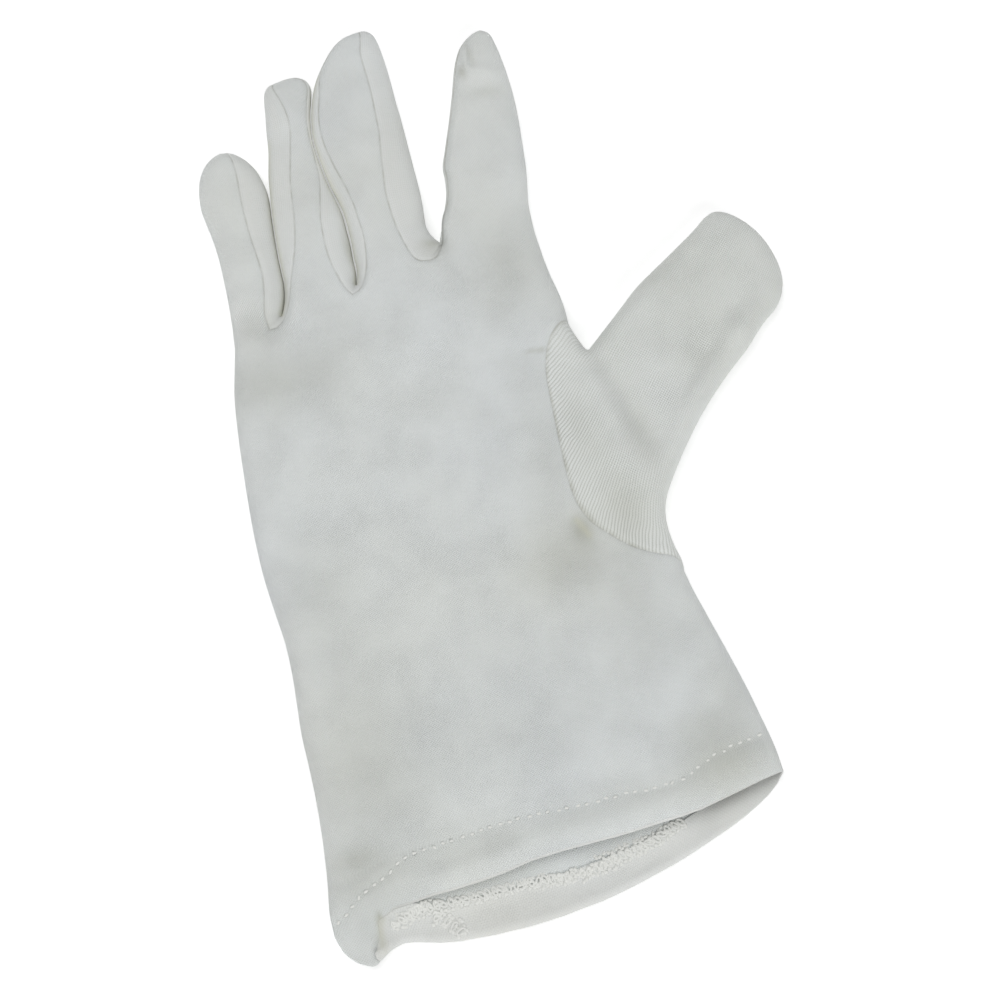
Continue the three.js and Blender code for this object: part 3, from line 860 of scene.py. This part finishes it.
print("palm and back")
upperBody = bodyGrid(columnShares, mouthUpper, hem["inset"] + 0.8, fingerRoots)
lowerBody = bodyGrid(backShares, mouthLower, hem["inset"], backRoots)
onEdge = np.zeros(upperBody.shape[:2], bool)
onEdge[:, 0] = True
onEdge[:holeRows.start + 1, -1] = True
onEdge[holeRows.stop - 1:, -1] = True
upperPoints = upperCloth(upperBody.reshape(-1, 2), bodyEdges, allSeams, onEdge.ravel())
lowerPoints = lowerCloth(lowerBody.reshape(-1, 2), bodyEdges, onEdge.ravel())
upperSurface = upperPoints.reshape(bodyRows, -1, 3)
lowerSurface = lowerPoints.reshape(bodyRows, -1, 3)
palmPatches = [(upperSurface, knitOf(upperSurface), False)]
backPatches = [(lowerSurface, knitOf(lowerSurface), True)]

# The corner of the cuff on the little-finger side hangs below the mouth and is pleated shut
pleatColumn = int(np.argmin(abs(upperBody[0, :, 0] - pleat["upperX"])))
lowerPleatColumn = int(np.argmin(abs(lowerBody[0, :, 0] - pleat["lowerX"])))
cornerEdge = evenly(edgeLines["cuffCorner"], pleatColumn + 1)
cornerRows = np.linspace(1, 0, grid["cornerRows"] + 1)[:, None, None]
cornerPlan = (1 - cornerRows) * upperBody[0, :pleatColumn + 1][None] + cornerRows * cornerEdge[None, :, :2]
corner = lift(cornerPlan, bodyEdges, allSeams)
fromPleat, _, _ = nearest(cornerPlan.reshape(-1, 2), [pleatLine])
fromPleat = fromPleat.reshape(cornerPlan.shape[:2])
below = cornerRows[..., 0] ** 0.5
sunk = pleat["pressed"] * below * bell(fromPleat, pleat["width"])
corner[..., 2] = pleat["level"] + (corner[..., 2] - pleat["level"]) * (1 - sunk)
corner[..., 2] += pleat["bulge"] * below * bell(fromPleat - pleat["bulgeAt"], pleat["bulgeWidth"])
corner[-1] = upperSurface[0, :pleatColumn + 1]
corner[0, :, 2] = cornerEdge[:, 2]
corner[:, 0] = upperSurface[0, 0]
palmPatches.append((corner, corner[..., :2], False))

print("fingers")
strips = {"Right": {}, "Left": {}}
stripShares = gathered(grid["stripColumns"], 0.75)
underShares = np.linspace(0, 1, grid["underColumns"] + 1) ** 1.3
firstColumn = 0
for number, finger in enumerate(fingers):
    left, right = finger + "Left", finger + "Right"
    ownEdges = [edgeLines[left], edgeLines[right]]
    if finger == "little":
        ownEdges.append(edgeLines["outerSide"])
    if finger == "index":
        ownEdges.append(edgeLines["palmSide"])
    outside = {"little": (0,), "index": (-1,)}.get(finger, ())
    bodyColumns = slice(firstColumn, firstColumn + grid["panelColumns"][finger] + 1)
    firstColumn += grid["panelColumns"][finger]
    shares = gathered(grid["panelColumns"][finger])
    front = lift(spreadGrid(fingerSeams[left], fingerSeams[right], shares), ownEdges, allSeams, outside)
    front = easedRows(front, upperSurface[-1, bodyColumns])
    front[-1, :, 2] = edges[left][-1][2]
    rear = lift(spreadGrid(footLines[left], footLines[right], shares), ownEdges, [], outside, under=True)
    rear = easedRows(rear, lowerSurface[-1, bodyColumns])
    rear[-1] = front[-1, 0]
    palmPatches.append((front, knitOf(front), False))
    backPatches.append((rear, knitOf(rear), True))
    for side, column in (("Left", 0), ("Right", -1)):
        if column in outside:
            continue
        edge = fingerEdges[finger + side]
        over = lift(spreadGrid(fingerSeams[finger + side], edge, stripShares), ownEdges, allSeams, (-1,))
        over[:, -1, 2] = edge[:, 2]
        turn = lift(spreadGrid(edge, footLines[finger + side], underShares), ownEdges, [], (0,), under=True)
        turn[:, 0] = over[:, -1]
        wall = np.concatenate([over, turn[:, 1:]], axis=1)
        wall[-1] = front[-1, 0]
        strips[side][finger] = (wall, front[:, column], rear[:, column], edge)

stripPatches = {}
for leftFinger, rightFinger in zip(fingers, fingers[1:]):
    sides = [strips["Right"][leftFinger], strips["Left"][rightFinger]]
    web = (sides[0][0][0] + sides[1][0][0]) / 2
    patches = []
    for (wall, seamEdge, footEdge, edge), turned in zip(sides, (False, True)):
        wall = easedRows(wall, web)
        wall[:, 0], wall[:, -1] = seamEdge, footEdge
        along = lengthsAlong(edge)
        across = np.cumsum(np.linalg.norm(np.diff(wall, axis=1), axis=2), axis=1)
        across = np.pad(across, ((0, 0), (1, 0)))
        pattern = np.stack([across, np.broadcast_to(along[:, None], across.shape)], axis=2)
        patches.append((wall, pattern, turned))
    stripPatches[leftFinger + "_" + rightFinger] = patches

palm = clothObject("palm_cloth", palmPatches)
back = clothObject("back_cloth", backPatches)
stripPieces = {name: clothObject("strip_" + name, patches) for name, patches in stripPatches.items()}

print("thumb")
holeLine = evenly(seamLines["thumbHole"], grid["thumbRows"] + 1)[:, :2]
upperEdge = evenly(edgeLines["thumbUpper"], grid["thumbColumns"] + 1)
lowerEdge = evenly(edgeLines["thumbLower"], grid["thumbColumns"] + 1)
thumbTip = np.array(edges["thumbUpper"][-1], float)
tipRow = np.repeat(thumbTip[None, :2], grid["thumbRows"] + 1, axis=0)
thumbPlan = patchGrid(holeLine, tipRow, upperEdge[:, :2], lowerEdge[:, :2])
thumbEdges = [edgeLines[name] for name in ("thumbUpper", "thumbLower", "palmSide", "cuffSide")]
thumbTop = lift(thumbPlan, thumbEdges, [seamLines["thumbHole"]], (0, -1), thumb=True)
thumbBelow = lift(thumbPlan, thumbEdges, [], (0, -1), under=True)
thumbTop[:, 0, 2], thumbTop[:, -1, 2] = upperEdge[:, 2], lowerEdge[:, 2]
thumbBelow[:, 0], thumbBelow[:, -1] = thumbTop[:, 0], thumbTop[:, -1]
thumbTop[0] = upperSurface[holeRows, -1][::-1]
thumbBelow[0] = lowerSurface[holeRows, -1][::-1]
thumbTop[-1] = thumbBelow[-1] = thumbTip

# The ribs of its knit run along the thumb, and spread out towards the seam
acrossThumb = acrossThumbAt(thumbPlan[..., 0], thumbPlan[..., 1])
acrossThumb += knitOf(thumbTop)[..., 0] - thumbTop[..., 0]
alongThumb = alongThumbAt(thumbPlan[..., 0], thumbPlan[..., 1])
fromHole, _, _ = nearest(thumbPlan.reshape(-1, 2), [seamLines["thumbHole"]])
fromHole = fromHole.reshape(thumbPlan.shape[:2])
spread = (1 + 0.3 * np.exp(-fromHole / 12)) * np.interp(alongThumb, [-10, 10, 85], [1.15, 1.0, 0.85])
thumbKnit = np.stack([(acrossThumb + 9) / spread, alongThumb], axis=2)
thumb = clothObject("thumb_cloth", [(thumbTop, thumbKnit, False), (thumbBelow, thumbKnit, True)])

# The knit is also stretched into ribs along the thumb's seam and at the little finger's root
thumbSeam = seamLines["thumbHole"]
addMarks(thumb, thumbSeam[thumbSeam[:, 1] < 62], markWidths["thumbRibs"])
littleRoot = np.array([(-36, 103), (-33, 99), (-28.5, 97.5)], float)
for piece in [palm, back, *stripPieces.values()]:
    addMarks(piece, littleRoot, markWidths["fingerRibs"])
for piece in [palm, back, thumb]:
    thicken(piece, shape["panelCloth"])
for piece in stripPieces.values():
    thicken(piece, shape["stripCloth"])

print("hem")


def faceNormals(surface, turned):
    normal = np.cross(np.gradient(surface, axis=1), np.gradient(surface, axis=0))
    normal /= np.maximum(np.linalg.norm(normal, axis=2), 1e-9)[..., None]
    return -normal if turned else normal


def atDepth(surface, values, depths):
    # values of the surface at the depths inside the mouth, one list of depths for each column
    reach = np.cumsum(np.linalg.norm(np.diff(surface, axis=0), axis=2), axis=0)
    reach = np.pad(reach, ((1, 0), (0, 0)))
    found = np.zeros((len(depths), surface.shape[1], 3))
    for column in range(surface.shape[1]):
        for k in range(3):
            found[:, column, k] = np.interp(depths[:, column], reach[:, column], values[:, column, k])
    return found


hemSurfaces, hemNormals = [], []
layers = ((upperSurface, False, 1, pleatColumn), (lowerSurface, True, -1, lowerPleatColumn))
for surface, turned, order, first in layers:
    near = surface[:grid["hemRows"], first:]
    depth = np.interp(near[0, :, 0], hem["depthChange"], [hem["depth"], hem["depthAtThumb"]])
    depths = np.linspace(0, 1, hem["rows"] + 1)[:, None] * depth[None]
    normals = faceNormals(near, turned)
    hemSurfaces.append(atDepth(near, near, depths)[:, ::order])
    hemNormals.append(atDepth(near, normals, depths)[:, ::order])
ring = np.concatenate([hemSurfaces[0], hemSurfaces[1][:, 1:]], axis=1)
ringNormal = np.concatenate([hemNormals[0], hemNormals[1][:, 1:]], axis=1)
joint = hemSurfaces[0].shape[1] - 1
ringNormal[:, joint] = ringNormal[:, joint - 1] + ringNormal[:, joint + 1]
ringNormal /= np.linalg.norm(ringNormal, axis=2)[..., None]
inward = ring[1] - ring[0]
inward /= np.linalg.norm(inward, axis=1)[:, None]
lipHere = hem["lip"] * narrowing(ring[0, :, :1])
hemGrid = []
for step in range(hem["lipSteps"] + 1):
    turn = math.pi * step / hem["lipSteps"]
    hemGrid.append(ring[0] - lipHere * (ringNormal[0] * (1 - math.cos(turn)) + inward * math.sin(turn)))
for row in range(1, hem["rows"] + 1):
    apart = hem["end"] + (2 * lipHere - hem["end"]) * (1 - row / hem["rows"]) ** 1.3
    hemGrid.append(ring[row] - ringNormal[row] * apart)
hemGrid = np.array(hemGrid)
hemGrid[..., 2] = np.maximum(hemGrid[..., 2], shape["tableGap"])
around = np.pad(np.cumsum(np.linalg.norm(np.diff(ring[0], axis=0), axis=1)), (1, 0))
into = np.arange(len(hemGrid)) * hem["depth"] / len(hemGrid)
hemPattern = np.stack(np.broadcast_arrays(around[None, :], into[:, None]), axis=2)
hemPiece = clothObject("hem_cloth", [(hemGrid, hemPattern, True)])
addMarks(hemPiece, littleRoot, markWidths["fingerRibs"])
thicken(hemPiece, hem["cloth"])

print("stitches")


def copiesOf(template, name, frames):
    # One object with a copy of the template's mesh in each frame. A frame is a place in mm and the
    # directions of x, y and z there.
    points = np.zeros(len(template.data.vertices) * 3)
    template.data.vertices.foreach_get("co", points)
    points = points.reshape(-1, 3)
    faces = [tuple(face.vertices) for face in template.data.polygons]
    allPoints, allFaces = [], []
    for place, axes in frames:
        allFaces += [tuple(i + len(points) * len(allPoints) for i in face) for face in faces]
        allPoints.append(points @ np.array(axes) + np.array(place) / 1000)
    mesh = bpy.data.meshes.new(name)
    mesh.from_pydata(np.vstack(allPoints).tolist(), [], allFaces)
    piece = bpy.data.objects.new(name, mesh)
    bpy.context.scene.collection.objects.link(piece)
    bpy.data.objects.remove(template)
    choose(piece)
    bpy.ops.object.shade_smooth()
    return piece


def framesAlong(line, pitch, heightOf, draw, lean):
    # Frames along a line in plan, each a little aside and leaning from the line
    wander, turnBy, turnChange = lean
    count = int(lineLength(line) / pitch)
    places = evenly(line, 2 * count + 1)
    frames = []
    for k in range(1, 2 * count, 2):
        run = places[k + 1, :2] - places[k - 1, :2]
        angle = math.atan2(run[1], run[0]) + turnBy + draw.normal(0, turnChange)
        spot = places[k, :2] + draw.normal(0, wander, 2)
        z, normal = heightOf(spot)
        ahead = np.array([math.cos(angle), math.sin(angle), 0.0])
        ahead -= normal * ahead.dot(normal)
        ahead /= np.linalg.norm(ahead)
        frames.append(((spot[0], spot[1], z), (ahead, np.cross(normal, ahead), normal)))
    return frames


def onUpper(spot):
    # Height and direction of the upper layer's surface at a place in plan
    around = np.array([spot, spot + (0.5, 0), spot + (0, 0.5)])
    z = upperCloth(around, bodyEdges, allSeams, np.zeros(3, bool))[:, 2]
    normal = np.array([-(z[1] - z[0]) / 0.5, -(z[2] - z[0]) / 0.5, 1.0])
    return z[0] + 0.08, normal / np.linalg.norm(normal)


def bead(size):
    # A small ball of thread with the given widths in mm
    bpy.ops.mesh.primitive_uv_sphere_add(segments=8, ring_count=6, radius=0.0005)
    ball = bpy.context.active_object
    ball.scale = size
    bpy.ops.object.transform_apply(scale=True)
    return ball


draw = np.random.default_rng(3)
stitchSize = (stitching["length"], stitching["thickness"], stitching["thickness"] * 0.8)
stitchFrames = framesAlong(stitchLine, stitching["pitch"], onUpper, draw, stitching["lean"])
hemStitches = copiesOf(bead(stitchSize), "hem_stitches", stitchFrames)

hemInside = hemGrid[hem["lipSteps"]:, joint:].reshape(-1, 3)


def onHemEdge(spot):
    # The overlock lies on the inside of the lower layer
    nearestPoint = np.argmin(np.linalg.norm(hemInside[:, :2] - spot, axis=1))
    z = hemInside[nearestPoint, 2] + overlock["thread"] / 2 - overlock["sunk"]
    return z, np.array([0.0, 0.0, 1.0])


def overlockLoop():
    # A ring of thread, drawn out to the loop's width and length and bent a little
    bpy.ops.mesh.primitive_torus_add(major_segments=14, minor_segments=6, major_radius=0.0005,
                                     minor_radius=overlock["thread"] / 2000)
    loop = bpy.context.active_object
    for vertex in loop.data.vertices:
        centre = Vector((vertex.co.x, vertex.co.y, 0)).normalized() * 0.0005
        shift = vertex.co - centre
        centre.x *= overlock["loopWidth"] - overlock["thread"]
        centre.y *= overlock["loopLength"] - overlock["thread"]
        vertex.co = centre + shift
        vertex.co.z += 0.00012 * math.sin(centre.y * 1500)
    return loop


loopFrames = []
for path, lean in overlock["lean"].items():
    line = smoothLine(overlock[path], 0.5)
    loopFrames += framesAlong(line, overlock["pitch"], onHemEdge, draw, lean)
overlockPiece = copiesOf(overlockLoop(), "overlock", loopFrames)

# Between the loops lie the fluffy bumps of the looper threads
knotFrames = []
for path, rows in overlock["knotRows"].items():
    line = smoothLine(overlock[path], 0.5)
    run = np.gradient(line, axis=0)
    side = np.column_stack([-run[:, 1], run[:, 0]]) / np.linalg.norm(run, axis=1)[:, None]
    for away in rows:
        row = line + side * away
        knotFrames += framesAlong(row, overlock["knotPitch"], onHemEdge, draw, overlock["knotLean"])
knotPiece = copiesOf(bead(overlock["knotSize"]), "overlock_bumps", knotFrames)

print("materials")


def linear(hexColour):
    channels = [int(hexColour[i:i + 2], 16) / 255 for i in (0, 2, 4)]
    return tuple(c / 12.92 if c <= 0.04045 else ((c + 0.055) / 1.055) ** 2.4 for c in channels) + (1,)


def node(tree, kind, settings=None, links=None):
    # Adds a node with its settings. Each input gets a value, or a link from (node, output).
    made = tree.nodes.new("ShaderNode" + kind)
    for key, value in (settings or {}).items():
        setattr(made, key, value)
    for key, value in (links or {}).items():
        if isinstance(value, tuple) and isinstance(value[0], bpy.types.Node):
            tree.links.new(value[0].outputs[value[1]], made.inputs[key])
        else:
            made.inputs[key].default_value = value
    return made


# Colours mixed in: painted shade from the shade table and in creases, and the darker seam line
paintedShadeAndSeamColours = {"shade": "b6b7aa", "crease": "d6d6c4", "seam": "b4b5aa"}


def cottonKnit(name, look):
    # Single jersey of cotton yarn: columns of loops (wales) crossed by rows (courses).
    # It is matt and slightly fuzzy, and light passes a little way into it.
    material = bpy.data.materials.new(name)
    material.use_nodes = True
    tree = material.node_tree
    tree.nodes.clear()
    output = node(tree, "OutputMaterial")
    place = node(tree, "TexCoord")
    seam, crease, ribs, shade = [
        node(tree, "Attribute", {"attribute_name": mark}) for mark in ("seam", "crease", "ribs", "shade")]
    # Noises by their scale and detail
    wander, fuzz, patchy, broad, stretched = [
        node(tree, "TexNoise", None, {"Vector": (place, "Object"), "Scale": scale, "Detail": detail})
        for scale, detail in ((170.0, 2.0), (1900.0, 4.0), (75.0, 3.0), (16.0, 3.0), (260.0, 2.0))]
    knit = node(tree, "UVMap", {"uv_map": "knit"})
    turned = node(tree, "Mapping", None, {"Vector": (knit, 0)})
    turned.inputs["Rotation"].default_value = (0, 0, math.radians(look["turn"]))
    # The yarn wanders a little
    wanderMove = node(tree, "VectorMath", {"operation": "SCALE"},
                      {0: (wander, 1), "Scale": look["wander"] / 1000})
    moved = node(tree, "VectorMath", {"operation": "ADD"}, {0: (turned, 0), 1: (wanderMove, 0)})
    split = node(tree, "SeparateXYZ", None, {0: (moved, 0)})
    waleCount = node(tree, "Math", {"operation": "MULTIPLY"}, {0: (split, 0), 1: 1000 / look["wale"]})
    waleShare = node(tree, "Math", {"operation": "FRACT"}, {0: (waleCount, 0)})
    waleCentre = node(tree, "Math", {"operation": "SUBTRACT"}, {0: (waleShare, 0), 1: 0.5})
    waleSide = node(tree, "Math", {"operation": "ABSOLUTE"}, {0: (waleCentre, 0)})
    ribFall = node(tree, "Math", {"operation": "MULTIPLY"}, {0: (waleSide, 0), 1: (waleSide, 0)})
    wale = node(tree, "Math", {"operation": "MULTIPLY_ADD"}, {0: (ribFall, 0), 1: -4.0, 2: 1.0})
    waleShow = node(tree, "Math", {"operation": "MULTIPLY_ADD"},
                    {0: (ribs, "Fac"), 1: look["ribbed"], 2: look["ribs"]})
    rib = node(tree, "Math", {"operation": "MULTIPLY"}, {0: (wale, 0), 1: (waleShow, 0)})
    courseCount = node(tree, "Math", {"operation": "MULTIPLY_ADD"},
                       {0: (split, 1), 1: 1000 / look["course"], 2: (waleSide, 0)})
    courseTurn = node(tree, "Math", {"operation": "MULTIPLY"}, {0: (courseCount, 0), 1: math.tau})
    courseWave = node(tree, "Math", {"operation": "SINE"}, {0: (courseTurn, 0)})
    courseShow = node(tree, "Math", {"operation": "MULTIPLY_ADD"},
                      {0: (ribs, "Fac"), 1: -0.6 * look["loops"], 2: look["loops"]})
    loops = node(tree, "Math", {"operation": "MULTIPLY_ADD"},
                 {0: (courseWave, 0), 1: (courseShow, 0), 2: (rib, 0)})
    # Fuzz of loose fibres, and cloth that is smoother in some places
    height = node(tree, "Math", {"operation": "MULTIPLY_ADD"},
                  {0: (fuzz, 0), 1: look["fuzz"], 2: (loops, 0)})
    uneven = node(tree, "MapRange", None,
                  {"Value": (patchy, 0), "From Min": 0.36, "From Max": 0.64,
                   "To Min": 0.7, "To Max": 1.0})
    bump = node(tree, "Bump", None,
                {"Strength": (uneven, 0), "Distance": look["relief"] / 1000, "Height": (height, 0)})
    # Colour: slightly warmer and cooler areas; painted shade between the loops, in creases and from the shade
    # table; darker along seams
    tone = node(tree, "ValToRGB", None, {0: (broad, 0)})
    for stop, position, tint in zip(tone.color_ramp.elements, (0.34, 0.66), (look["warm"], look["cool"])):
        stop.position = position
        stop.color = linear(tint)
    # Painted shade between the loops of the knit, deeper where it is stretched into ribs
    gapShadeDepth = node(tree, "Math", {"operation": "MULTIPLY_ADD"},
                    {0: (ribs, "Fac"), 1: 0.2 * look["gaps"], 2: 0.6 * look["gaps"]})
    gap = node(tree, "MapRange", None,
               {"Value": (loops, 0), "From Min": -0.2, "From Max": 0.7,
                "To Min": (gapShadeDepth, 0), "To Max": 0.0})
    # Painted shade in the creases, warm grey
    creaseShadeShare = node(tree, "Math", {"operation": "MULTIPLY"}, {0: (crease, "Fac"), 1: 0.5})
    seamShow = node(tree, "MapRange", None,
                    {"Value": (stretched, 0), "From Min": 0.4, "From Max": 0.62,
                     "To Min": 0.2, "To Max": 0.62})
    seamShare = node(tree, "Math", {"operation": "MULTIPLY"}, {0: (seam, "Fac"), 1: (seamShow, 0)})
    # Painted shades are mixed over the colour first, then the darker seam line
    colour = (tone, 0)
    for share, darker in (((shade, "Fac"), paintedShadeAndSeamColours["shade"]), ((gap, 0), look["between"]),
                          ((creaseShadeShare, 0), paintedShadeAndSeamColours["crease"]), ((seamShare, 0), paintedShadeAndSeamColours["seam"])):
        mixed = node(tree, "Mix", {"data_type": "RGBA"}, {0: share, 6: colour, 7: linear(darker)})
        colour = (mixed, 2)
    shader = node(tree, "BsdfPrincipled", None, {
        "Base Color": colour, "Roughness": 0.9, "IOR": 1.45, "Specular IOR Level": 0.2,
        "Sheen Weight": 0.15, "Sheen Roughness": 0.5, "Normal": (bump, 0),
        "Subsurface Weight": 0.2, "Subsurface Scale": 0.0005})
    shader.inputs["Subsurface Radius"].default_value = (1.0, 1.0, 0.95)
    tree.links.new(shader.outputs[0], output.inputs[0])
    return material


def cottonThread(name, colour):
    # Soft-spun sewing cotton, lighter than the cloth
    material = bpy.data.materials.new(name)
    material.use_nodes = True
    shader = material.node_tree.nodes["Principled BSDF"]
    shader.inputs["Base Color"].default_value = linear(colour)
    shader.inputs["Roughness"].default_value = 0.8
    shader.inputs["Sheen Weight"].default_value = 0.2
    return material


# Looks of the four knits. Colours as hex, of which between is the painted shade between the loops; wale,
# course, wander and relief in mm; turn in degrees; the other values are shares, of which gaps is that of the
# painted shade.
fine = {
    "warm": "ebeeeb", "cool": "edf1f2", "between": "b7bab3", "wale": 0.56, "course": 0.46, "turn": 46,
    "wander": 0.7, "loops": 0.35, "fuzz": 0.9, "relief": 0.16, "ribs": 0.55, "ribbed": 0.8, "gaps": 0.55,
}
coarse = {
    "warm": "ebeeea", "cool": "edf0ef", "between": "b4b7ad", "wale": 0.64, "course": 0.6, "turn": 0,
    "wander": 0.8, "loops": 0.24, "fuzz": 0.6, "relief": 0.21, "ribs": 0.62, "ribbed": 0.15, "gaps": 0.95,
}
strip = {
    "warm": "e4e6e3", "cool": "e7eaea", "between": "b4b7ad", "wale": 0.62, "course": 0.5, "turn": 0,
    "wander": 0.8, "loops": 0.3, "fuzz": 1.0, "relief": 0.11, "ribs": 0.55, "ribbed": 0.0, "gaps": 0.36,
}
doubled = {
    "warm": "e7e8e4", "cool": "ebedec", "between": "bcbdb6", "wale": 0.56, "course": 0.5, "turn": 46,
    "wander": 0.9, "loops": 0.4, "fuzz": 1.1, "relief": 0.09, "ribs": 0.55, "ribbed": 0.0, "gaps": 0.33,
}
fineJersey = cottonKnit("cotton_jersey_fine", fine)
thumbJersey = cottonKnit("cotton_jersey_thumb", coarse)
stripJersey = cottonKnit("cotton_jersey_strip", strip)
hemJersey = cottonKnit("cotton_jersey_hem", doubled)
thread = cottonThread("sewing_cotton", stitching["colour"])
looperThread = cottonThread("overlock_cotton", overlock["colour"])

pieces = [
    (palm, fineJersey, "palm_panel", "cotton_body"),
    (back, fineJersey, "back_panel", "cotton_body"),
    (thumb, thumbJersey, "thumb_piece", "cotton_thumb"),
    (stripPieces["little_ring"], stripJersey, "fourchette_little_ring", "cotton_fourchette"),
    (stripPieces["ring_middle"], stripJersey, "fourchette_ring_middle", "cotton_fourchette"),
    (stripPieces["middle_index"], stripJersey, "fourchette_middle_index", "cotton_fourchette"),
    (hemPiece, hemJersey, "cuff_hem", "cotton_hem"),
    (hemStitches, thread, "cuff_hem", "cotton_hem"),
    (overlockPiece, looperThread, "cuff_hem", "cotton_hem"),
    (knotPiece, looperThread, "cuff_hem", "cotton_hem"),
]
for piece, material, cadNode, slotName in pieces:
    piece.data.materials.clear()
    piece.data.materials.append(material)
    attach(piece, "root")
    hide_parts(cadNode)

print("table, light and camera")
tableLook = {"size": 6, "colour": "fdfdfd", "roughness": 0.9, "glow": 0.28}
bpy.ops.mesh.primitive_plane_add(size=tableLook["size"], location=(0, 0, -0.0001))
table = bpy.context.active_object
table.name = "table_top"
paint = bpy.data.materials.new("white_card")
paint.use_nodes = True
shader = paint.node_tree.nodes["Principled BSDF"]
shader.inputs["Base Color"].default_value = linear(tableLook["colour"])
shader.inputs["Roughness"].default_value = tableLook["roughness"]
shader.inputs["Emission Color"].default_value = linear("ffffff")
shader.inputs["Emission Strength"].default_value = tableLook["glow"]
table.data.materials.append(paint)

camera = {
    "target": (0.0165, 0.035, 0.0),
    "azimuth": -15.8,
    "elevation": 72.0,
    "distance": 0.570,
    "lens": 75.8,
}
turn, rise = math.radians(camera["azimuth"]), math.radians(camera["elevation"])
backwards = Vector((math.sin(turn) * math.cos(rise), -math.cos(turn) * math.cos(rise), math.sin(rise)))
cameraData = bpy.data.cameras.new("photo_camera")
cameraData.lens = camera["lens"]
cameraData.sensor_width = 36
cameraData.clip_start = 0.01
cameraObject = bpy.data.objects.new("photo_camera", cameraData)
bpy.context.scene.collection.objects.link(cameraObject)
cameraObject.location = Vector(camera["target"]) + backwards * camera["distance"]
cameraObject.rotation_euler = (-backwards).to_track_quat("-Z", "Y").to_euler()
bpy.context.scene.camera = cameraObject

lights = {
    "key": {"place": (-0.18, 0.30, 0.95), "size": 0.8, "power": 4.75},
    "front": {"place": (0.25, -1.25, 0.8), "size": 0.8, "power": 8.2},
}
lightAim = (0.02, 0.04, 0)
roomLight = 0.31
for name, light in lights.items():
    lamp = bpy.data.lights.new(name, "AREA")
    lamp.size = light["size"]
    lamp.energy = light["power"]
    lampObject = bpy.data.objects.new(name, lamp)
    lampObject.location = light["place"]
    aim = Vector(lightAim) - Vector(light["place"])
    lampObject.rotation_euler = aim.to_track_quat("-Z", "Y").to_euler()
    bpy.context.scene.collection.objects.link(lampObject)
world = bpy.data.worlds.new("soft_box")
world.use_nodes = True
world.node_tree.nodes["Background"].inputs[0].default_value = linear("ffffff")
world.node_tree.nodes["Background"].inputs[1].default_value = roomLight
bpy.context.scene.world = world
bpy.context.scene.view_settings.view_transform = "Standard"
bpy.context.scene.view_settings.look = "None"
